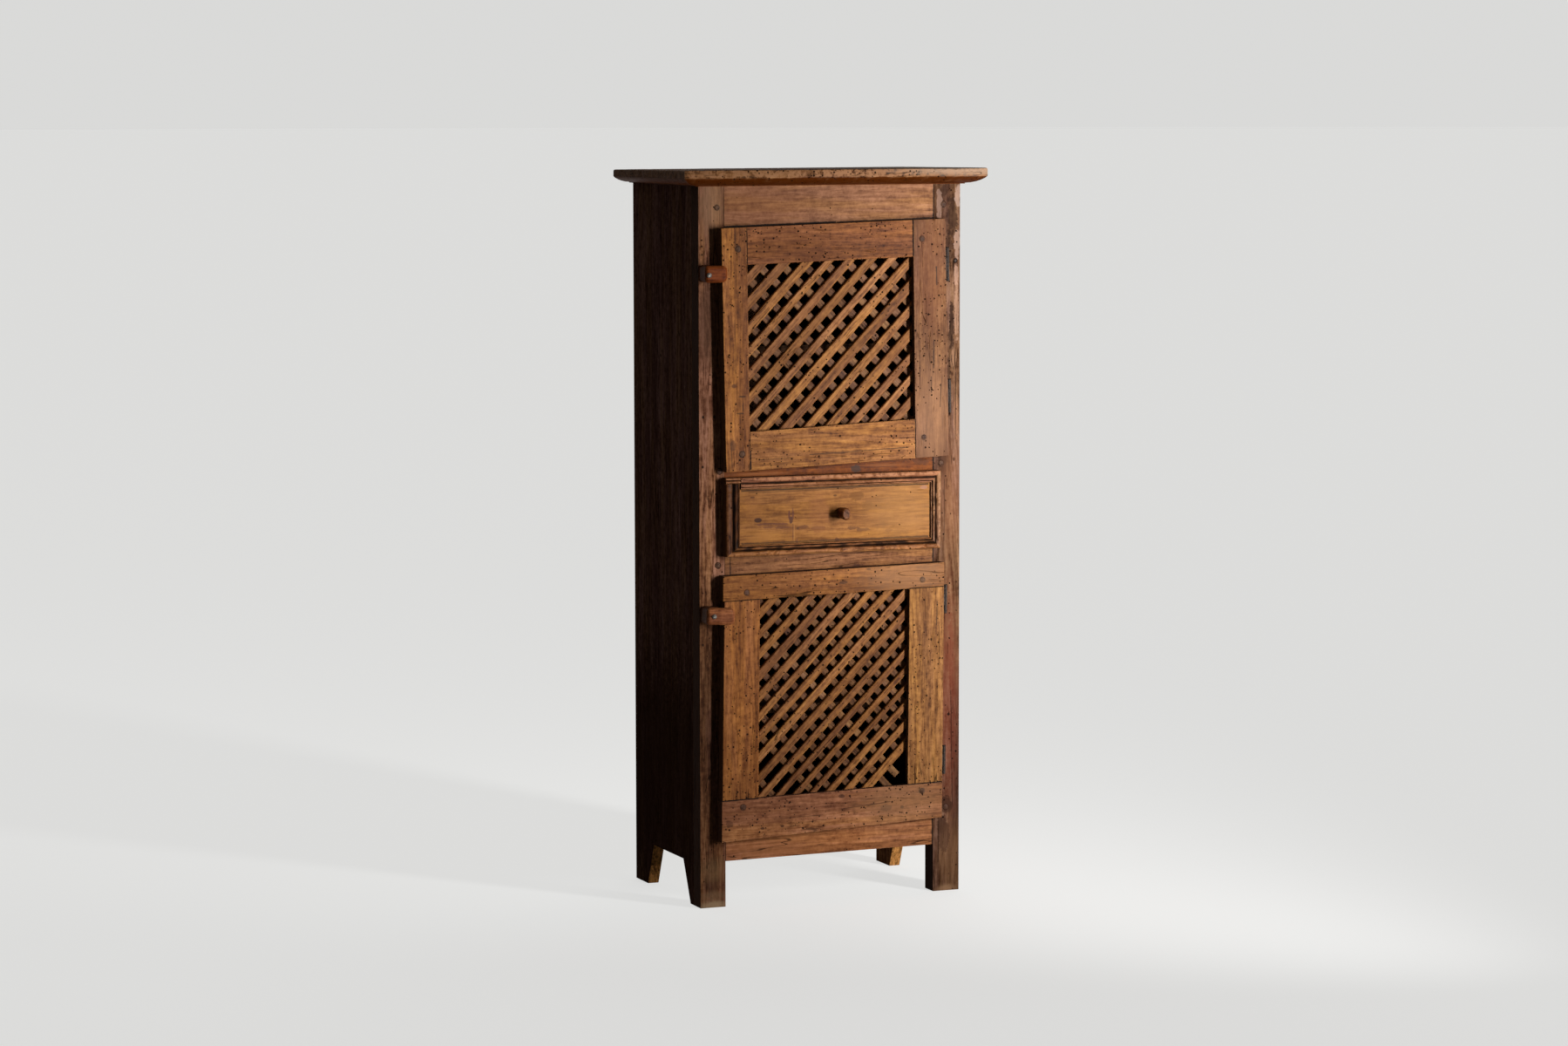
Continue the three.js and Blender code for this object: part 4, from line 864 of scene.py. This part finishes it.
def moulding(side):
    """One applied strip of the drawer front, mitred where its outer and inner lines differ."""
    outer_from, outer_to, inner_from, inner_to, worn, hollow, tone = moulding_strips[side]
    profile = block_shares if side == "block" else moulding_shares
    count = max(4, round(math.dist(outer_from, outer_to) / MOULDING_STEP))
    seed = sum(map(ord, side))
    points, relief = [], []
    for step in range(count + 1):
        outer = along_line(outer_from, outer_to, step / count)
        inner = along_line(inner_from, inner_to, step / count)
        for number, (across, height, level) in enumerate(profile):
            run = Vector((step * MOULDING_STEP * 0.05, number * 0.4, seed))
            rough = noise.noise(run)
            slow = noise.noise(run * 0.35 + Vector((0, 0, 7)))
            chip = max(0, noise.noise(Vector((step * 0.33, 3, seed))) - 0.12) if across < 0.4 else 0
            inset = worn * (0.35 + 0.9 * slow) * max(0, 1 - across * 2.6) / math.dist(outer, inner)
            share = held(across + (inset if across < 0.5 else 0) + 0.012 * rough)
            tall = height * (1 - 0.1 * abs(rough) - 0.55 * chip * worn)
            x, z = along_line(outer, inner, share)
            y = DRAWER_FRONT + (-MOULDING_THICKNESS * tall if height else MOULDING_SEAT)
            points.append(at(x, y, z))
            # The second hollow is darkened further as painted shade
            shaded = level * (1 - hollow) if HOLLOW_FROM < across < HOLLOW_TO else level
            patch = noise.noise(Vector((step * 0.21, number * 0.15, seed + 5)))
            relief.append(held(shaded - 0.35 * chip + 0.12 * rough + 0.3 * patch))
    axis = "Z" if side in ("left", "right", "block") else "X"
    material = wood(f"moulding_{side}_wood", tone, axis=axis, contrast=0.4, rings=0.2, holes=0.15, wear=1,
                    stain=0.3, shine=0.05, rough=0.45, relief=True)
    return new_piece("drawer_strip_" + side, points, skin(count + 1, len(profile)), "drawer", material,
                     "moulding_wood", relief=relief)


for side_name in moulding_strips:
    strip_piece = moulding(side_name)
    if side_name != "block":
        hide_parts("drawer_moulding_" + side_name)


# Top board: level rings with a rubbed, chipped lip along the front and both ends
TOP_WIDTH, TOP_DEPTH, TOP_FOOT = 575, 384, 1467
TOP_THICKNESS, TOP_OVERHANG, TOP_REAR, TOP_FALL = 33, 44, 4, 5.5
TOP_REAR_INSET = 10
TOP_STEP = 6
TOP_CORNER = 4
TOP_WAVE = 0.03
TOP_HOLLOW_TONE = (78, 33, 2)
# How far the top board is darkened by painted shade on faces that look left or up
TOP_SIDE_SHADE = 0.5
# (share of the overhang, share of the thickness, relief, wear inwards, wear downwards)
top_levels = [
    (0.2, 0, 0.1, 0, 0), (0.2, 0.05, 0.1, 0.3, 0), (0.3, 0.065, 0.15, 0.4, 0), (0.41, 0.08, 0.15, 0.4, 0),
    (0.6, 0.15, 0.15, 0.5, 0), (0.77, 0.25, 0.15, 0.6, 0), (0.91, 0.37, 0.15, 0.7, 0),
    (0.985, 0.47, 0.25, 0.8, 0), (1, 0.54, 0.85, 1.2, 0), (1, 0.65, 1, 1.5, 0), (1, 0.76, 0.95, 1.7, 0),
    (1, 0.87, 1, 2, 0.3), (0.985, 0.96, 0.95, 2.4, 1), (0.95, 0.99, 0.8, 2.4, 1.2), (0.88, 1, 0.55, 2, 0.8),
    (0.7, 1, 0.4, 1, 0.4),
]


def top_board():
    """The top board with its worn moulded edge."""
    points, relief = [], []
    for number, (overhang_share, height_share, level, inward, downward) in enumerate(top_levels):
        overhang = overhang_share * TOP_OVERHANG
        x0, x1, y0, y1 = -overhang, TOP_WIDTH + overhang, -overhang, TOP_DEPTH + TOP_REAR
        if number == len(top_levels) - 1:
            y1 -= TOP_REAR_INSET
        corners = [(x0, y0), (x1, y0), (x1, y1), (x0, y1)]
        inwards = [(0, 1), (-1, 0), (0, -1), (1, 0)]
        ring = []
        for side in range(4):
            start, stop = corners[side], corners[(side + 1) % 4]
            longest = (TOP_WIDTH + 2 * TOP_OVERHANG, TOP_DEPTH + TOP_OVERHANG)[side % 2]
            count = round(longest / TOP_STEP)
            for step in range(count):
                x, y = along_line(start, stop, step / count)
                place = Vector((x * TOP_WAVE, y * TOP_WAVE, height_share * 0.8))
                fine = abs(noise.noise(place * 4.1))
                slow = max(0, noise.noise(place * 0.6 + Vector((3, 1, 0))))
                chip = max(0, noise.noise(place * 1.3 + Vector((0, 0, 9))) - 0.28) * 2.2
                rear = 0.15 if side == 2 else 1
                depth = inward * rear * (0.5 * fine + 0.5 * slow + chip)
                along = step / count * longest
                near = max(0, TOP_CORNER - min(along, longest - along))
                depth += (TOP_CORNER - math.sqrt(TOP_CORNER**2 - near**2)) * 0.55 * rear
                x += inwards[side][0] * depth
                y += inwards[side][1] * depth
                back_share = (y + overhang) / (TOP_DEPTH + TOP_REAR + overhang)
                thickness = TOP_THICKNESS - TOP_FALL * held(back_share)
                z = TOP_FOOT + height_share * thickness - downward * (0.5 * fine + 0.4 * slow + 0.7 * chip)
                ring.append(at(x, y, z))
                relief.append(held(level + 0.3 * (fine - 0.25) - 0.25 * chip))
        points.extend(ring)
    faces = skin(len(top_levels), len(ring), ways=(-1, 1))
    material = wood("top_board_old_wood", relief=True, hollow_dirt_and_shade_tone=TOP_HOLLOW_TONE, left_dirt=TOP_SIDE_SHADE,
                    spots=spots_by_start["top_board"], **kind_of("top_board"))
    piece = new_piece("old_top_board", points, faces, "case", material, "top_wood", relief=relief)
    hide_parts("top_board")


top_board()

# Pegs: hand-cut round heads, a little proud of the wood
peg_wood = wood("peg_wood", (74, 50, 36), axis="Y", contrast=0.5, rings=0.2, holes=0, wear=0.8, rough=0.5)
PEG_PROUD = 0.8
PEG_SUNK = 2


def round_head(name, body, place, radius, proud, material, slot, sides=14, uneven=0.08):
    """A low domed head with a slightly uneven outline."""
    maker = random.Random(name)
    rim = [radius * (1 + maker.uniform(-uneven, uneven)) for _ in range(sides)]
    rings = [(1, PEG_SUNK), (1, 0), (0.97, -proud * 0.5), (0.84, -proud * 0.9), (0.45, -proud)]
    points = []
    x, y, z = place
    for share, depth in rings:
        for number, reach in enumerate(rim):
            turn = 2 * math.pi * number / sides
            across, rise = math.cos(turn) * reach * share, math.sin(turn) * reach * share
            points.append(at(x + across, y + depth, z + rise))
    new_piece(name, points, skin(len(rings), sides), body, material, slot, smooth=True)


for host, places in peg_spots.items():
    body, face_level = (host[:len("upper_door")], DOOR_FRONT) if "door" in host else ("case", POST_FRONT)
    for number, (peg_x, peg_z) in enumerate(places, start=1):
        place = (peg_x, face_level, peg_z)
        round_head(f"{host}_peg_{number}", body, place, PEG_RADIUS, PEG_PROUD, peg_wood, "post_wood")

RING_NAIL_PLACE = (564, POST_FRONT, 1309)
RING_NAIL_RADIUS, RING_NAIL_PROUD = 3.1, 1.4
round_head("post_front_right_ring_nail", "case", RING_NAIL_PLACE, RING_NAIL_RADIUS, RING_NAIL_PROUD, iron,
           "hinge_iron", sides=10, uneven=0.05)

# Turn buttons: carved blocks with rounded ends and a wide chamfer, inside the solids that they stand for
BUTTON_SEAT = -0.5
BUTTON_STEP = -26.2
BUTTON_FRONT = -37.2
button_corners = {"hub": 7, "nose": 11}
BUTTON_HOLLOW_TONE = (30, 15, 9)
# How far the turn buttons are darkened by painted shade on faces that look left or up
BUTTON_SIDE_SHADE = 0.6
BUTTON_ARC_STEPS = 7
button_specs = {
    "upper": dict(x=9.5, z=1290, left=7.5, hub=24, nose=40.5, height=34, rise=2, tilt=0),
    "lower": dict(x=18, z=602, left=15, hub=17, nose=46, height=35, rise=0, tilt=3),
}
# (inset, depth, reach of the ring, relief) from the seat to the front face
button_rings = [
    (0, BUTTON_SEAT, "hub", 0.3), (0, BUTTON_STEP, "hub", 0.3), (0, BUTTON_STEP, "nose", 0.4),
    (0, BUTTON_FRONT + 4.6, "nose", 0.62), (0.5, BUTTON_FRONT + 3.6, "nose", 0.95),
    (1.7, BUTTON_FRONT + 2.4, "nose", 0.8), (3.8, BUTTON_FRONT + 0.7, "nose", 0.6),
    (6.5, BUTTON_FRONT, "nose", 0.55),
]


def rounded_outline(left, right, half, hub_corner, nose_corner):
    """Points round a rectangle with round corners, from the lower right one."""
    corners = [(right, -half, nose_corner), (right, half, nose_corner),
               (left, half, hub_corner), (left, -half, hub_corner)]
    outline = []
    for number, (x, z, radius) in enumerate(corners):
        middle_x, middle_z = (level - math.copysign(radius, level) for level in (x, z))
        for step in range(BUTTON_ARC_STEPS):
            turn = math.radians(90 * (number - 1 + step / (BUTTON_ARC_STEPS - 1)))
            outline.append((middle_x + radius * math.cos(turn), middle_z + radius * math.sin(turn)))
    return outline


def turn_button(door):
    """A carved turn button."""
    spec = button_specs[door]
    tilt = math.radians(spec["tilt"])
    seed = Vector((spec["z"], 0, 0))
    points, relief = [], []
    for inset, y, reach, level in button_rings:
        half = spec["height"] / 2 - inset
        corners = [corner - inset * 0.6 for corner in (button_corners["hub"], button_corners[reach])]
        outline = rounded_outline(inset - spec["left"], spec[reach] - inset, half, *corners)
        for x, z in outline:
            carved = 1 - 0.035 * abs(noise.noise(Vector((x * 0.12, y * 0.1, z * 0.12)) + seed))
            x, z = x * carved, z * carved + spec["rise"]
            points.append(at(spec["x"] + x * math.cos(tilt) + z * math.sin(tilt), y,
                             spec["z"] - x * math.sin(tilt) + z * math.cos(tilt)))
            relief.append(level if x > 0.7 * spec["nose"] else min(level, 0.66))
    name = door + "_latch"
    material = wood(door + "_button_wood", relief=True, hollow_dirt_and_shade_tone=BUTTON_HOLLOW_TONE, left_dirt=BUTTON_SIDE_SHADE,
                    **kind_of(name))
    faces = skin(len(button_rings), len(outline))
    piece = new_piece("carved_" + name, points, faces, name, material, "latch_wood", relief=relief)
    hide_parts(name)


for door_name in button_specs:
    turn_button(door_name)

# Camera, lights and floor
camera_data = bpy.data.cameras.new("camera")
camera_data.lens = CAMERA_LENS
camera_data.sensor_width = CAMERA_SENSOR
camera_data.clip_end = CAMERA_REACH
camera = placed("camera", camera_data)
view = Matrix.Translation(CAMERA_PLACE)
for angle, axis in ((CAMERA_TURN, "Z"), (CAMERA_TILT, "X"), (CAMERA_ROLL, "Z")):
    view = view @ Matrix.Rotation(math.radians(angle), 4, axis)
camera.matrix_world = view
bpy.context.scene.camera = camera

lamp_data = bpy.data.lights.new("key_lamp", "AREA")
lamp_data.shape = "RECTANGLE"
lamp_data.size, lamp_data.size_y = KEY_SIZE
lamp_data.energy = KEY_POWER
lamp_data.spread = math.radians(KEY_SPREAD)
lamp = placed("key_lamp", lamp_data)
lamp.location = KEY_PLACE
lamp.visible_camera = False
lamp.rotation_euler = (Vector(KEY_AIM) - Vector(KEY_PLACE)).to_track_quat("-Z", "Y").to_euler()

world = bpy.data.worlds.new("studio")
bpy.context.scene.world = world
world.use_nodes = True
world.node_tree.nodes.clear()
w = Nodes(world.node_tree)
facing_glow = w.vector("DOT_PRODUCT", w.add("TexCoord").outputs["Generated"], BACK_GLOW_FROM)
lighting = w.ramp(facing_glow, BACK_GLOW_EDGE, 1, FILL_STRENGTH, FILL_STRENGTH + BACK_GLOW)
strength = w.plus(w.seen(), w.maths("SUBTRACT", 1, lighting), lighting)
background = w.add("Background", {"Color": PALE + (1,), "Strength": strength})
w.add("OutputWorld", {"Surface": background.outputs[0]})

floor_mesh = bpy.data.meshes.new("floor")
floor_turns = [2 * math.pi * number / FLOOR_SIDES for number in range(FLOOR_SIDES)]
floor_rim = [(FLOOR_RADIUS * math.cos(turn), FLOOR_RADIUS * math.sin(turn), 0) for turn in floor_turns]
floor_mesh.from_pydata(floor_rim, [], [tuple(range(FLOOR_SIDES))])
floor = placed("floor", floor_mesh)
floor_material, f = blank_material("pale_floor")
floor_shader = f.add("BsdfPrincipled", {
    "Base Color": FLOOR_TONE + (1,), "Roughness": FLOOR_ROUGH, "Specular IOR Level": 0,
    "Emission Color": PALE + (1,), "Emission Strength": f.product(f.seen(), FLOOR_GLOW),
})
f.add("OutputMaterial", {"Surface": floor_shader.outputs[0]})
floor_mesh.materials.append(floor_material)

bpy.context.scene.view_settings.view_transform = "Standard"
